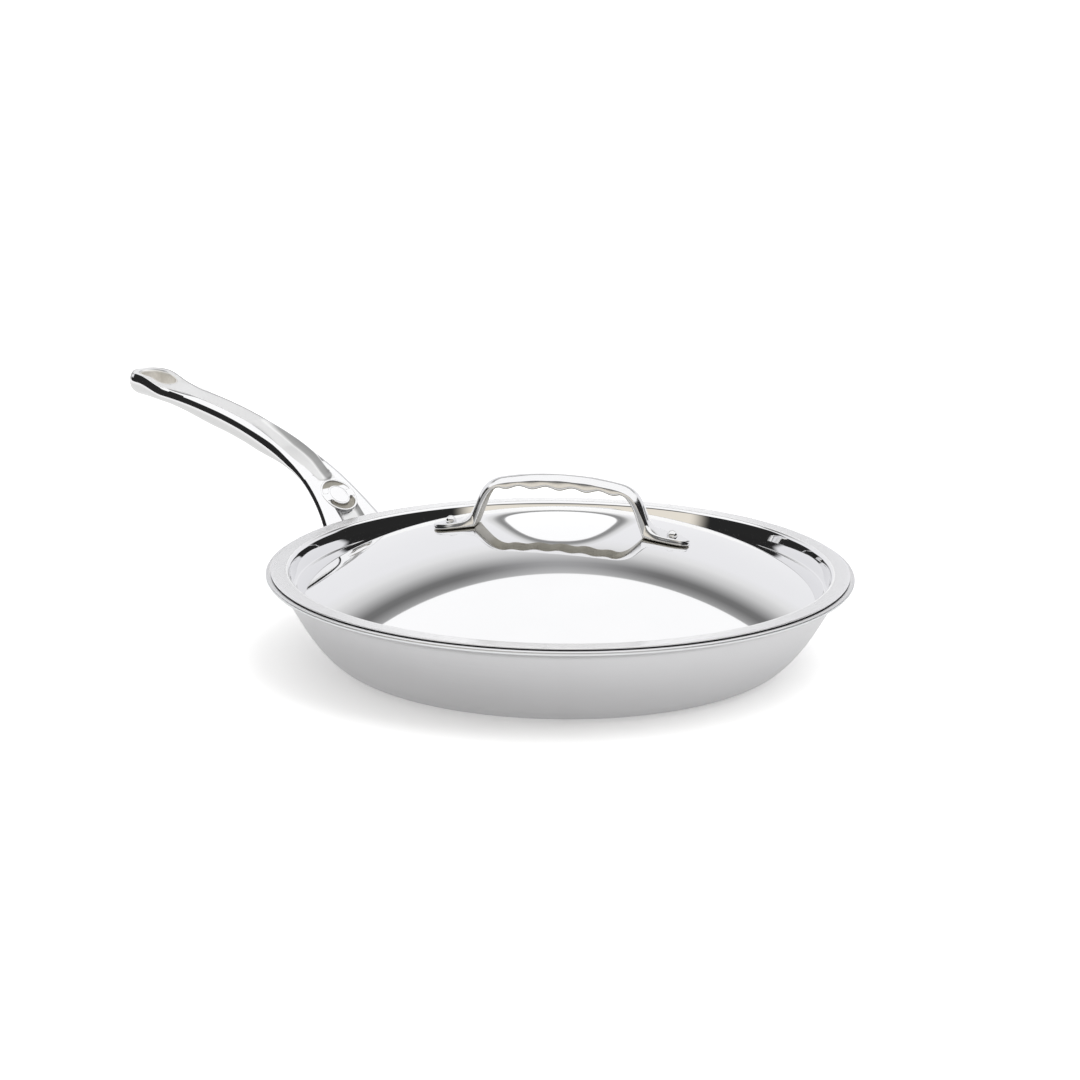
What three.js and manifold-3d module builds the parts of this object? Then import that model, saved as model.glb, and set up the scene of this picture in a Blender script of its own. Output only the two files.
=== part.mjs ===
// Stainless frying pan with a drop-in lid. Millimetres, +Z up.
// The origin is the middle of the pan's base, on the table. The long handle points to -X.

import * as THREE from 'three';
import { mergeVertices } from 'three/addons/utils/BufferGeometryUtils.js';
import Module from 'manifold-3d';

// Pan: a clad bowl of three layers with a pouring lip
const BASE_RADIUS = 104; // flat of the base
const CORNER_REACH = 14; // from the flat to where the wall's line meets the table
const WALL_LEAN = 19; // how far the wall leans out on its way up
const WALL_HEIGHT = 38; // from the table to the start of the lip
const LIP_REACH = 8; // from the wall's top out to the rim
const LIP_RISE = 4; // from the wall's top up to the underside of the rim
const OUTER_SKIN = 0.5; // magnetic stainless steel
const CORE = 1.3; // aluminium
const INNER_SKIN = 0.5; // stainless steel
const BOND = 0.05; // between two layers

// Lid: one sheet pressed into a flange, a recess and a dome
const LID_SHEET = 0.8;
const LID_SEAT_GAP = 0.3; // between the flange and the rim it lies on
const LID_PLAY = 1.4; // between the recess and the inside of the pan
const FLANGE_INSET = 2.3; // how much of the rim shows round the flange
const FLANGE_WIDTH = 9;
const FLANGE_BEND = 1.5;
const RECESS_DEPTH = 9; // from the flange down to the gutter
const GUTTER_WIDTH = 2.5;
const DOME_RISE = 22; // top of the dome above the flange
const LID_TURN = 31; // degrees between the lid's handle and the pan's handle

// Long handle: a casting with a foot plate on the wall, a flared neck and an eye at its tip
const SEAT_GAP = 0.3; // between a riveted piece and what it lies on
const FOOT_THICKNESS = 4.5;
const FOOT_WIDTH = 44;
const FOOT_BOTTOM = 8; // height of the foot's lower edge
const FOOT_CORNER = 11;
const NECK_ROOT = 28; // height at which the neck leaves the wall
const NECK_ROOT_THICKNESS = 3;
const NECK_CLEARANCE = 3.4; // between the rim's underside and the neck's top face
const NECK_SLOPE = 48; // degrees
const NECK_PULL = 43; // how far the neck keeps its slope
const NECK_WIDTH = 39.5;
const NECK_THICKNESS = 5;
const NECK_LENGTH = 28; // the stretch that keeps the neck's thickness
const HANDLE_REACH = 175; // from the neck's top face at the rim out to the tip
const HANDLE_RISE = 50.6;
const TIP_PULL = 93; // how far the tip's level stretch is felt
const TIP_LIFT = 3.7; // how far the top face rises out of the handle's line
const TIP_LIFT_FROM = 34; // before the tip, where it starts to rise
const TIP_LIFT_TO = 14; // before the tip, where it has risen
const TIP_WIDTH = 24;
const TIP_THICKNESS = 9; // before it rises
const TIP_THIN_FROM = 75; // before the tip, where the handle starts to get thinner
const TIP_THIN_TO = 32; // before the tip, where it is thinnest
const WAIST_AT = 108; // along the handle from the rim
const WAIST_WIDTH = 18.5;
const WAIST_THICKNESS = 13;
const THICK_FROM = 80; // along the handle from the rim, where it reaches that thickness
const EDGE_ACROSS = 2.2; // rounded edge of the top face, sideways
const EDGE_DROP = 3.2; // and downwards
const EDGE_OF_THICKNESS = 1 / 3; // the most of the thickness that the edge takes
const EDGE_OF_HALF_WIDTH = 1 / 2; // the most of the half width
const EYE_LENGTH = 23;
const EYE_WIDTH = 12.5;
const EYE_WALL = 6.6; // between the eye and the tip
const GROOVE_NEAR = 27.5; // round end of the groove in the top face, from the rim
const GROOVE_FAR = 92; // where its floor has risen to the top face
const GROOVE_RUNOUT = 30; // the stretch over which it rises
const GROOVE_DEPTH = 3;
const GROOVE_WIDTH = 12.8;
const GROOVE_WALL = 0.8; // sideways run of the groove's sloped wall
const NECK_HOLLOW_START = 8; // how far the hollow of the neck runs down behind the rim
const NECK_HOLLOW_DEPTH = 2;
const MEDALLION_AT = 16.6; // along the handle from the rim
const MEDALLION_RADIUS = 6.3;
const POCKET_RADIUS = 9.4; // ring sunk round the medallion
const POCKET_DEPTH = 1.3;
const BOSS_RADIUS = 10.6; // round raised seat of the medallion, standing in the hollow
const BOSS_PROUD = 0.3;

// Rivets of the long handle
const PAN_RIVET_HEIGHT = 18; // where their axes cross the wall
const PAN_RIVET_SPACING = 26;
const PAN_RIVET_SHANK = 3.2; // radius
const PAN_RIVET_HEAD = 6; // radius
const PAN_RIVET_DOME = 2;
const RIVET_PLAY = 0.2; // round each shank

// Bow handle of the lid, drawn from its middle out to one foot
const BOW_CLEARANCE = 17.8; // from the dome up to the underside of the grip
const BOW_THICKNESS = 7.2;
const BOW_CROWN = 150; // radius of the top of the grip
const BOW_UNDER_CROWN = 420; // radius of the line that the scallops hang from
const BOW_WIDTH = 12;
const BOW_REACH = 42.2; // from the middle to the inner face of a leg, at the dome
const LEG_LEAN = 8; // how far a leg leans in on its way up
const LEG_THICKNESS = 4.7;
const SHOULDER_ROUND = 9; // outside bend between grip and leg
const ARMPIT_ROUND = 10; // inside bend between grip and leg
const SCALLOP_PITCH = 13.4;
const SCALLOP_DEPTH = 1.5;
const SCALLOP_TAIL = 1 / 4; // of a pitch, past the last whole scallop
const ARMPIT_FREE = 1 / 4; // of the inside bend, kept free of scallops
const BOW_FOOT_LENGTH = 17.5; // from the outer face of the leg to the tip
const BOW_FOOT_WIDTH = 15;
const TONGUE_FULL = 2 / 3; // of the foot's length, over which its width is felt
const TONGUE_BLUNT = 1 / 2; // of the foot's width, felt at its tip
const BOW_FOOT_THICKNESS = 2.8;
const BOW_FILLET = 6.5; // between leg and foot
const LID_RIVET_AT = 8.2; // from the leg's outer face
const LID_RIVET_SHANK = 1.5; // radius
const LID_RIVET_HEAD = 2.7; // radius
const LID_RIVET_DOME = 2.8;

// Facets
const ROUND_STEPS = 48; // round the pan and the lid
const WALL_STEPS = 7;
const LIP_STEPS = 3;
const DOME_STEPS = 7;
const BEND_STEPS = 2;
const HANDLE_STEPS = 30;
const SECTION_STEPS = 4; // in the round of a handle's underside
const TIP_STEPS = 5;
const TIP_FLAT = 1 / 2; // of a step, left flat at the very tip
const GROOVE_STEPS = 8;
const NECK_HOLLOW_STEPS = 4;
const RIVET_STEPS = 16;
const RIVET_DOME_STEPS = 3;
const SCALLOP_STEPS = 6;
const MERGE_DISTANCE = 1e-4;
const CUT_MARGIN = 40; // how far a cutting solid runs past what it cuts

const wasm = await Module();
wasm.setup();

// Signed volume of a merged, indexed geometry
function signedVolume(position, index) {
  const [a, b, c] = [0, 1, 2].map(() => new THREE.Vector3());
  let volume = 0;
  for (let i = 0; i < index.length; i += 3) {
    a.fromBufferAttribute(position, index[i]);
    b.fromBufferAttribute(position, index[i + 1]);
    c.fromBufferAttribute(position, index[i + 2]);
    volume += a.dot(b.cross(c)) / 6;
  }
  return volume;
}

// A closed geometry as a solid that can be cut and joined, facing out
function solidOf(geometry) {
  const bare = new THREE.BufferGeometry();
  bare.setAttribute('position', geometry.getAttribute('position'));
  bare.setIndex(geometry.getIndex());
  const merged = mergeVertices(bare, MERGE_DISTANCE);
  const corners = merged.getIndex().array;
  const triangles = [];
  for (let i = 0; i < corners.length; i += 3) {
    const [a, b, c] = corners.slice(i, i + 3);
    if (a !== b && b !== c && c !== a) triangles.push([a, b, c]);
  }
  const inwards = signedVolume(merged.getAttribute('position'), triangles.flat()) < 0;
  return new wasm.Manifold(new wasm.Mesh({
    numProp: 3,
    vertProperties: new Float32Array(merged.getAttribute('position').array),
    triVerts: new Uint32Array(triangles.flatMap((t) => (inwards ? [t[0], t[2], t[1]] : t))),
  }));
}

// A named mesh of a finished solid
function meshOf(name, solid, material) {
  const { vertProperties, triVerts } = solid.getMesh();
  const geometry = new THREE.BufferGeometry();
  geometry.setAttribute('position', new THREE.BufferAttribute(vertProperties, 3));
  geometry.setIndex(new THREE.BufferAttribute(triVerts, 1));
  geometry.computeVertexNormals();
  const mesh = new THREE.Mesh(geometry, material);
  mesh.name = name;
  return mesh;
}

// Points of joined curves, each cut into its own number of steps
function chain(...pieces) {
  const points = [];
  for (const [curve, steps] of pieces) {
    const run = curve.getPoints(steps);
    points.push(...(points.length ? run.slice(1) : run));
  }
  return points;
}

// Where two lines meet, each given by a point and a direction
function meet(p, along, q, across) {
  const reach = q.clone().sub(p).cross(across) / along.cross(across);
  return p.clone().addScaledVector(along, reach);
}

const mirrored = (p) => new THREE.Vector2(-p.x, p.y);
const leftOf = (direction) => new THREE.Vector2(-direction.y, direction.x);

// A profile moved to its left by a distance; its ends on the axis stay there
function offset(points, distance) {
  const last = points.length - 1;
  return points.map((point, i) => {
    const onAxis = Math.abs(point.x) < MERGE_DISTANCE;
    const into = i > 0 ? point.clone().sub(points[i - 1]) : null;
    const out = i < last ? points[i + 1].clone().sub(point) : null;
    const before = into ?? (onAxis ? point.clone().sub(mirrored(points[1])) : out);
    const after = out ?? (onAxis ? mirrored(points[last - 1]).sub(point) : into);
    const normal = leftOf(before.clone().normalize());
    const bisector = leftOf(after.clone().normalize()).add(normal).normalize();
    return point.clone().addScaledVector(bisector, distance / bisector.dot(normal));
  });
}

// A closed profile between two offsets of an open one
function band(points, from, to) {
  return [...offset(points, from), ...offset(points, to).reverse()];
}

// A solid turned round +Z from a profile in radius and height
function revolve(profile, steps = ROUND_STEPS) {
  const onAxis = Math.abs(profile[0].x) < MERGE_DISTANCE;
  const closed = onAxis ? profile : [...profile, profile[0].clone()];
  return solidOf(new THREE.LatheGeometry(closed, steps).rotateX(Math.PI / 2));
}

// A solid drawn from a flat outline, centred on its plane
function slab(shape, thickness) {
  const options = { depth: thickness, bevelEnabled: false, curveSegments: TIP_STEPS };
  return new THREE.ExtrudeGeometry(shape, options).translate(0, 0, -thickness / 2);
}

// A frame at a point, with its own X, Y and Z directions
function frameAt(origin, x, y, z) {
  return new THREE.Matrix4().makeBasis(x, y, z).setPosition(origin);
}

// A skin over rings of points, closed by a flat face at each end
function loft(rings) {
  const size = rings[0].length;
  const last = (rings.length - 1) * size;
  const index = [];
  for (let i = 0; i < last; i += size) {
    for (let j = 0; j < size; j += 1) {
      const next = (j + 1) % size;
      index.push(i + j, i + next, i + size + next);
      index.push(i + j, i + size + next, i + size + j);
    }
  }
  for (let j = 1; j + 1 < size; j += 1) {
    index.push(0, j + 1, j);
    index.push(last, last + j, last + j + 1);
  }
  const geometry = new THREE.BufferGeometry().setFromPoints(rings.flat());
  geometry.setIndex(index);
  return geometry;
}

// A rivet along +Z: its tail's flat at z = 0 and its head's flat at z = grip
function rivet(shank, head, dome, grip) {
  const tail = new THREE.EllipseCurve(0, 0, head, dome, -Math.PI / 2, 0);
  const top = new THREE.EllipseCurve(0, grip, head, dome, 0, Math.PI / 2);
  return new THREE.LatheGeometry([
    ...tail.getPoints(RIVET_DOME_STEPS),
    new THREE.Vector2(shank, 0),
    new THREE.Vector2(shank, grip),
    ...top.getPoints(RIVET_DOME_STEPS),
  ], RIVET_STEPS).rotateX(Math.PI / 2);
}

// The hole that a rivet's shank passes through, run past both ends
function rivetHole(shank) {
  const radius = shank + RIVET_PLAY;
  return new THREE.CylinderGeometry(radius, radius, CUT_MARGIN, RIVET_STEPS).rotateX(Math.PI / 2);
}

// From 0 to 1 without a kink at either end
const ease = (t) => THREE.MathUtils.smoothstep(t, 0, 1);

// The pan's outer profile, from the middle of the base to the rim

const wallThickness = OUTER_SKIN + CORE + INNER_SKIN + 2 * BOND;
const wallFoot = new THREE.Vector2(BASE_RADIUS + CORNER_REACH, 0);
const wallTop = new THREE.Vector2(wallFoot.x + WALL_LEAN, WALL_HEIGHT);
const rimRadius = wallTop.x + LIP_REACH;
const rimUnder = new THREE.Vector2(rimRadius, WALL_HEIGHT + LIP_RISE);
const rimTop = rimUnder.y + wallThickness;
const baseEdge = new THREE.Vector2(BASE_RADIUS, 0);
const level = new THREE.Vector2(1, 0);
const wallCurve = new THREE.QuadraticBezierCurve(baseEdge, wallFoot, wallTop);
const lipCorner = meet(wallTop, wallCurve.getTangent(1), rimUnder, level);
const lipCurve = new THREE.QuadraticBezierCurve(wallTop, lipCorner, rimUnder);
const baseLine = new THREE.LineCurve(new THREE.Vector2(0, 0), baseEdge);
const panProfile = chain([baseLine, 1], [wallCurve, WALL_STEPS], [lipCurve, LIP_STEPS]);

// The outer wall's point and outward normal at a height
function wallAt(height) {
  const t = Math.sqrt(height / WALL_HEIGHT);
  const along = wallCurve.getTangent(t);
  return { point: wallCurve.getPoint(t), along, out: leftOf(along).negate() };
}

// The inside radius of the pan at a height
function panInside(height) {
  const inner = offset(panProfile, wallThickness);
  const i = inner.findIndex((p) => p.y > height);
  const share = (height - inner[i - 1].y) / (inner[i].y - inner[i - 1].y);
  return THREE.MathUtils.lerp(inner[i - 1].x, inner[i].x, share);
}

// How far a flat facet lies inside the circle it stands for
const facetSag = (radius) => radius * (1 - Math.cos(Math.PI / ROUND_STEPS));

// Rivets of the long handle, square to the wall, one each side of the handle's middle line

const panRivetSeat = wallAt(PAN_RIVET_HEIGHT);
const panRivetAngle = Math.asin(PAN_RIVET_SPACING / 2 / panRivetSeat.point.x);
const headSag = facetSag(panRivetSeat.point.x) + PAN_RIVET_HEAD ** 2 / (2 * panRivetSeat.point.x);
const panRivetInset = wallThickness + SEAT_GAP + headSag;
const panRivetGrip = panRivetInset + SEAT_GAP + FOOT_THICKNESS + SEAT_GAP;

function panRivetFrame(side) {
  const turn = new THREE.Matrix4().makeRotationZ(Math.PI + side * panRivetAngle);
  const { point, along, out } = panRivetSeat;
  const tail = point.clone().addScaledVector(out, -panRivetInset);
  const up = new THREE.Vector3(along.x, 0, along.y);
  const axis = new THREE.Vector3(out.x, 0, out.y);
  const frame = frameAt(new THREE.Vector3(tail.x, 0, tail.y), up, axis.clone().cross(up), axis);
  return turn.multiply(frame);
}

const SIDES = { left: -1, right: 1 };
const panRivets = Object.fromEntries(Object.entries(SIDES).map(([name, side]) => {
  const geometry = rivet(PAN_RIVET_SHANK, PAN_RIVET_HEAD, PAN_RIVET_DOME, panRivetGrip);
  return [name, solidOf(geometry.applyMatrix4(panRivetFrame(side)))];
}));
const panRivetHoles = Object.values(SIDES)
  .map((side) => solidOf(rivetHole(PAN_RIVET_SHANK).applyMatrix4(panRivetFrame(side))))
  .reduce((holes, hole) => holes.add(hole));

// Clad layers of the pan, from the outside in

function panLayer(from, thickness) {
  return revolve(band(panProfile, from, from + thickness)).subtract(panRivetHoles);
}

const coreStart = OUTER_SKIN + BOND;
const innerStart = coreStart + CORE + BOND;
const outerSkin = panLayer(0, OUTER_SKIN);
const core = panLayer(coreStart, CORE);
const innerSkin = panLayer(innerStart, INNER_SKIN);

// Long handle: the line of its top face, in distance from the pan's axis and height

const neckRoot = wallAt(NECK_ROOT);
const slope = THREE.MathUtils.degToRad(NECK_SLOPE);
const neckAlong = new THREE.Vector2(Math.cos(slope), Math.sin(slope));
const rootPoint = neckRoot.point.clone().addScaledVector(neckRoot.out, SEAT_GAP);
const neckPoint = new THREE.Vector2(rimRadius + NECK_CLEARANCE, rimUnder.y);
const tipPoint = neckPoint.clone().add(new THREE.Vector2(HANDLE_REACH, HANDLE_RISE));
const rootPull = rootPoint.distanceTo(neckPoint) / 3;
const rootLine = new THREE.CubicBezierCurve(
  rootPoint,
  rootPoint.clone().addScaledVector(neckRoot.along, rootPull),
  neckPoint.clone().addScaledVector(neckAlong, -rootPull),
  neckPoint,
);
const gripLine = new THREE.CubicBezierCurve(
  neckPoint,
  neckPoint.clone().addScaledVector(neckAlong, NECK_PULL),
  tipPoint.clone().addScaledVector(level, -TIP_PULL),
  tipPoint,
);
const rootLength = rootLine.getLength();
const gripLength = gripLine.getLength();

// How far the top face stands out of the handle's line
function tipLift(distance) {
  const share = (distance - gripLength + TIP_LIFT_FROM) / (TIP_LIFT_FROM - TIP_LIFT_TO);
  return TIP_LIFT * ease(share);
}

// The top face's point, direction and upward normal at a distance along the handle from the rim
function topAt(distance) {
  const line = distance < 0 ? rootLine : gripLine;
  const share = distance < 0 ? 1 + distance / rootLength : distance / gripLength;
  const along = line.getTangentAt(share);
  const up = leftOf(along);
  const point = line.getPointAt(share).addScaledVector(up, tipLift(distance));
  return { point, along, up };
}

// The same as a frame: X towards the tip, Z out of the top face
function topFrame(distance) {
  const { point, along, up } = topAt(distance);
  const x = new THREE.Vector3(-along.x, 0, along.y);
  const z = new THREE.Vector3(-up.x, 0, up.y);
  return frameAt(new THREE.Vector3(-point.x, 0, point.y), x, z.clone().cross(x), z);
}

// Width and thickness along the handle, before the tip is rounded

function handleWidth(distance) {
  if (distance < WAIST_AT) {
    const flare = 1 - Math.max(distance, 0) / WAIST_AT;
    return WAIST_WIDTH + (NECK_WIDTH - WAIST_WIDTH) * flare ** 3;
  }
  const share = (distance - WAIST_AT) / (gripLength - TIP_WIDTH / 2 - WAIST_AT);
  return WAIST_WIDTH + (TIP_WIDTH - WAIST_WIDTH) * ease(share);
}

function handleThickness(distance) {
  if (distance < 0) {
    return THREE.MathUtils.lerp(NECK_THICKNESS, NECK_ROOT_THICKNESS, -distance / rootLength);
  }
  if (distance < WAIST_AT) {
    const share = (distance - NECK_LENGTH) / (THICK_FROM - NECK_LENGTH);
    return NECK_THICKNESS + (WAIST_THICKNESS - NECK_THICKNESS) * ease(share);
  }
  const share = (distance - gripLength + TIP_THIN_FROM) / (TIP_THIN_FROM - TIP_THIN_TO);
  return WAIST_THICKNESS + (TIP_THICKNESS - WAIST_THICKNESS) * ease(share) + tipLift(distance);
}

// A section of the handle across its top line: flat top with rounded edges and a rounded underside
function handleRing(distance, halfWidth, thickness) {
  const across = Math.min(EDGE_ACROSS, EDGE_OF_HALF_WIDTH * halfWidth);
  const drop = Math.min(EDGE_DROP, EDGE_OF_THICKNESS * thickness);
  const under = new THREE.EllipseCurve(0, -drop, halfWidth, thickness - drop, -Math.PI / 2, 0);
  const edge = new THREE.EllipseCurve(halfWidth - across, -drop, across, drop, 0, Math.PI / 2);
  const half = chain([under, SECTION_STEPS], [edge, BEND_STEPS]);
  const ring = [...half, ...half.slice(1).reverse().map(mirrored)];
  const frame = topFrame(distance);
  return ring.map((p) => new THREE.Vector3(0, p.x, p.y).applyMatrix4(frame));
}

// Sections from the root on the wall to the rounded tip
function handleRings() {
  const rings = [];
  const tipRadius = TIP_WIDTH / 2;
  const straight = gripLength - tipRadius;
  for (let i = 0; i <= HANDLE_STEPS; i += 1) {
    const distance = THREE.MathUtils.lerp(-rootLength, straight, i / HANDLE_STEPS);
    rings.push(handleRing(distance, handleWidth(distance) / 2, handleThickness(distance)));
  }
  for (let i = 1; i <= TIP_STEPS; i += 1) {
    const angle = (i / (TIP_STEPS + TIP_FLAT)) * (Math.PI / 2);
    const distance = straight + tipRadius * Math.sin(angle);
    rings.push(handleRing(distance, tipRadius * Math.cos(angle), handleThickness(distance)));
  }
  return rings;
}

// A section of what is cut out of the top face: a floor between two sloped walls
function hollowRing(distance, half, depth) {
  const floor = Math.max(half - (GROOVE_WALL * depth) / GROOVE_DEPTH, half / 2);
  const mouth = half + GROOVE_WALL;
  const over = GROOVE_DEPTH;
  const section = [[-mouth, over], [-floor, -depth], [floor, -depth], [mouth, over]];
  const frame = topFrame(distance);
  return section.map(([across, up]) => new THREE.Vector3(0, across, up).applyMatrix4(frame));
}

// Groove in the grip, round at its near end and rising out of the top face at its far end
function gripGroove() {
  const rings = [];
  const round = GROOVE_WIDTH / 2;
  for (let i = 0; i < TIP_STEPS; i += 1) {
    const angle = (i / TIP_STEPS) * (Math.PI / 2);
    const distance = GROOVE_NEAR + round * (1 - Math.cos(angle));
    rings.push(hollowRing(distance, round * Math.sin(angle), GROOVE_DEPTH));
  }
  const start = GROOVE_NEAR + round;
  const step = (GROOVE_FAR - start) / (GROOVE_STEPS - 1);
  for (let i = 0; i <= GROOVE_STEPS; i += 1) {
    const distance = start + i * step;
    const depth = GROOVE_DEPTH * Math.min((GROOVE_FAR - distance) / GROOVE_RUNOUT, 1);
    rings.push(hollowRing(distance, round, depth));
  }
  return solidOf(loft(rings));
}

// Hollow of the neck, from behind the rim up to the boss of the medallion
function neckHollow() {
  const rings = [];
  for (let i = 0; i <= NECK_HOLLOW_STEPS; i += 1) {
    const share = i / NECK_HOLLOW_STEPS;
    const distance = THREE.MathUtils.lerp(-NECK_HOLLOW_START, MEDALLION_AT, share);
    rings.push(hollowRing(distance, BOSS_RADIUS, NECK_HOLLOW_DEPTH));
  }
  return solidOf(loft(rings));
}

// Boss of the medallion, rooted in the metal under the hollow
function medallionBoss() {
  const root = -(NECK_HOLLOW_DEPTH + NECK_THICKNESS) / 2;
  return revolve([
    new THREE.Vector2(0, root),
    new THREE.Vector2(BOSS_RADIUS, root),
    new THREE.Vector2(BOSS_RADIUS, BOSS_PROUD),
    new THREE.Vector2(0, BOSS_PROUD),
  ], 2 * RIVET_STEPS).transform(topFrame(MEDALLION_AT).elements);
}

// Foot plate: the part of a shell round the wall that lies inside a rounded outline
function footPlate() {
  const half = FOOT_WIDTH / 2;
  const corner = Math.min(FOOT_CORNER, half);
  const outline = new THREE.Shape();
  outline.moveTo(-half, CUT_MARGIN + WALL_HEIGHT);
  outline.lineTo(-half, FOOT_BOTTOM + corner);
  outline.absarc(-half + corner, FOOT_BOTTOM + corner, corner, Math.PI, 1.5 * Math.PI);
  outline.absarc(half - corner, FOOT_BOTTOM + corner, corner, 1.5 * Math.PI, 2 * Math.PI);
  outline.lineTo(half, CUT_MARGIN + WALL_HEIGHT);
  outline.closePath();
  const wallOnly = wallCurve.getPoints(WALL_STEPS);
  const shell = revolve(band(wallOnly, -SEAT_GAP, -SEAT_GAP - FOOT_THICKNESS));
  const behind = -rimRadius;
  const plug = slab(outline, 2 * rimRadius).rotateX(Math.PI / 2).rotateZ(Math.PI / 2);
  return shell.intersect(solidOf(plug.translate(behind, 0, 0)));
}

// Everything that the long handle has to stay out of: the pan with its seat gap
function panEnvelope() {
  const outside = offset(panProfile, -SEAT_GAP);
  return revolve([
    ...outside,
    new THREE.Vector2(rimRadius + SEAT_GAP, rimUnder.y - SEAT_GAP),
    new THREE.Vector2(rimRadius + SEAT_GAP, rimTop + SEAT_GAP),
    new THREE.Vector2(0, rimTop + SEAT_GAP),
  ]);
}

// Eye in the handle's tip, a slot with round ends
function handleEye() {
  const radius = EYE_WIDTH / 2;
  const straight = EYE_LENGTH / 2 - radius;
  const slot = new THREE.Shape();
  slot.absarc(straight, 0, radius, -Math.PI / 2, Math.PI / 2);
  slot.absarc(-straight, 0, radius, Math.PI / 2, 1.5 * Math.PI);
  slot.closePath();
  const middle = gripLength - EYE_WALL - EYE_LENGTH / 2;
  return solidOf(slab(slot, CUT_MARGIN).applyMatrix4(topFrame(middle)));
}

// Ring sunk into the boss, round the medallion
function medallionPocket() {
  const floor = BOSS_PROUD - POCKET_DEPTH;
  const mouth = BOSS_PROUD + POCKET_DEPTH;
  const ring = [
    new THREE.Vector2(MEDALLION_RADIUS, floor),
    new THREE.Vector2(POCKET_RADIUS, floor),
    new THREE.Vector2(POCKET_RADIUS, mouth),
    new THREE.Vector2(MEDALLION_RADIUS, mouth),
  ];
  return revolve(ring, 2 * RIVET_STEPS).transform(topFrame(MEDALLION_AT).elements);
}

const longHandle = solidOf(loft(handleRings()))
  .subtract(gripGroove())
  .subtract(neckHollow())
  .add(medallionBoss())
  .add(footPlate())
  .subtract(panEnvelope())
  .subtract(handleEye())
  .subtract(medallionPocket())
  .subtract(panRivetHoles);

// The lid's upper profile, from the top of the dome to the flange

const flangeTop = rimTop + LID_SEAT_GAP + LID_SHEET;
const gutterTop = flangeTop - RECESS_DEPTH;
const domeTop = flangeTop + DOME_RISE;
const flangeEdge = new THREE.Vector2(rimRadius - FLANGE_INSET, flangeTop);
const recessTop = new THREE.Vector2(flangeEdge.x - FLANGE_WIDTH, flangeTop);
const recessFoot = new THREE.Vector2(
  panInside(gutterTop - LID_SHEET) - LID_PLAY - LID_SHEET,
  gutterTop,
);
const domeFoot = new THREE.Vector2(recessFoot.x - GUTTER_WIDTH, gutterTop);
const domeHeight = domeTop - gutterTop;
const domeRadius = (domeFoot.x ** 2 + domeHeight ** 2) / (2 * domeHeight);
const domeSpan = Math.asin(domeFoot.x / domeRadius);
const domeArc = new THREE.EllipseCurve(
  0, domeTop - domeRadius, domeRadius, domeRadius, Math.PI / 2, Math.PI / 2 - domeSpan, true,
);
const recessUp = recessTop.clone().sub(recessFoot).normalize();
const domeDown = new THREE.Vector2(Math.cos(domeSpan), -Math.sin(domeSpan));
const gutterFloor = meet(domeFoot, domeDown, recessFoot, recessUp);
const gutterCurve = new THREE.QuadraticBezierCurve(domeFoot, gutterFloor, recessFoot);
const bendStart = recessTop.clone().addScaledVector(recessUp, -FLANGE_BEND);
const bendEnd = recessTop.clone().addScaledVector(level, FLANGE_BEND);
const bendCurve = new THREE.QuadraticBezierCurve(bendStart, recessTop, bendEnd);
const lidProfile = chain(
  [domeArc, DOME_STEPS],
  [gutterCurve, BEND_STEPS],
  [new THREE.LineCurve(recessFoot, bendStart), 1],
  [bendCurve, BEND_STEPS],
  [new THREE.LineCurve(bendEnd, flangeEdge), 1],
);
lidProfile[0].x = 0;

// A point on a sphere about the dome's centre, in the plane of the bow handle
function onDome(along, lift) {
  const radius = domeRadius + lift;
  return new THREE.Vector2(along, domeTop - domeRadius + Math.sqrt(radius ** 2 - along ** 2));
}

// Side view of the bow handle

const bowLow = domeTop + BOW_CLEARANCE;
const bowTop = bowLow + BOW_THICKNESS;
const footLift = SEAT_GAP + BOW_FOOT_THICKNESS;
const legOutside = BOW_REACH + LEG_THICKNESS;
const bowTip = legOutside + BOW_FOOT_LENGTH;
const legTopReach = BOW_REACH - LEG_LEAN;
const arcDrop = (along, radius) => radius - Math.sqrt(radius ** 2 - along ** 2);
const scallopRoom = (legTopReach - ARMPIT_FREE * ARMPIT_ROUND) / SCALLOP_PITCH - SCALLOP_TAIL;
const scallopsBeside = Math.max(Math.floor(scallopRoom), 0);

// The direction of a circle about the handle's middle line, going outwards
function arcAlong(along, radius) {
  return new THREE.Vector2(Math.sqrt(radius ** 2 - along ** 2), -along).normalize();
}

// The scalloped underside of the grip, low in the middle of each scallop
function scallopAt(along) {
  const wave = (1 - Math.cos((2 * Math.PI * along) / SCALLOP_PITCH)) / 2;
  return new THREE.Vector2(along, bowLow - arcDrop(along, BOW_UNDER_CROWN) + SCALLOP_DEPTH * wave);
}

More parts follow.
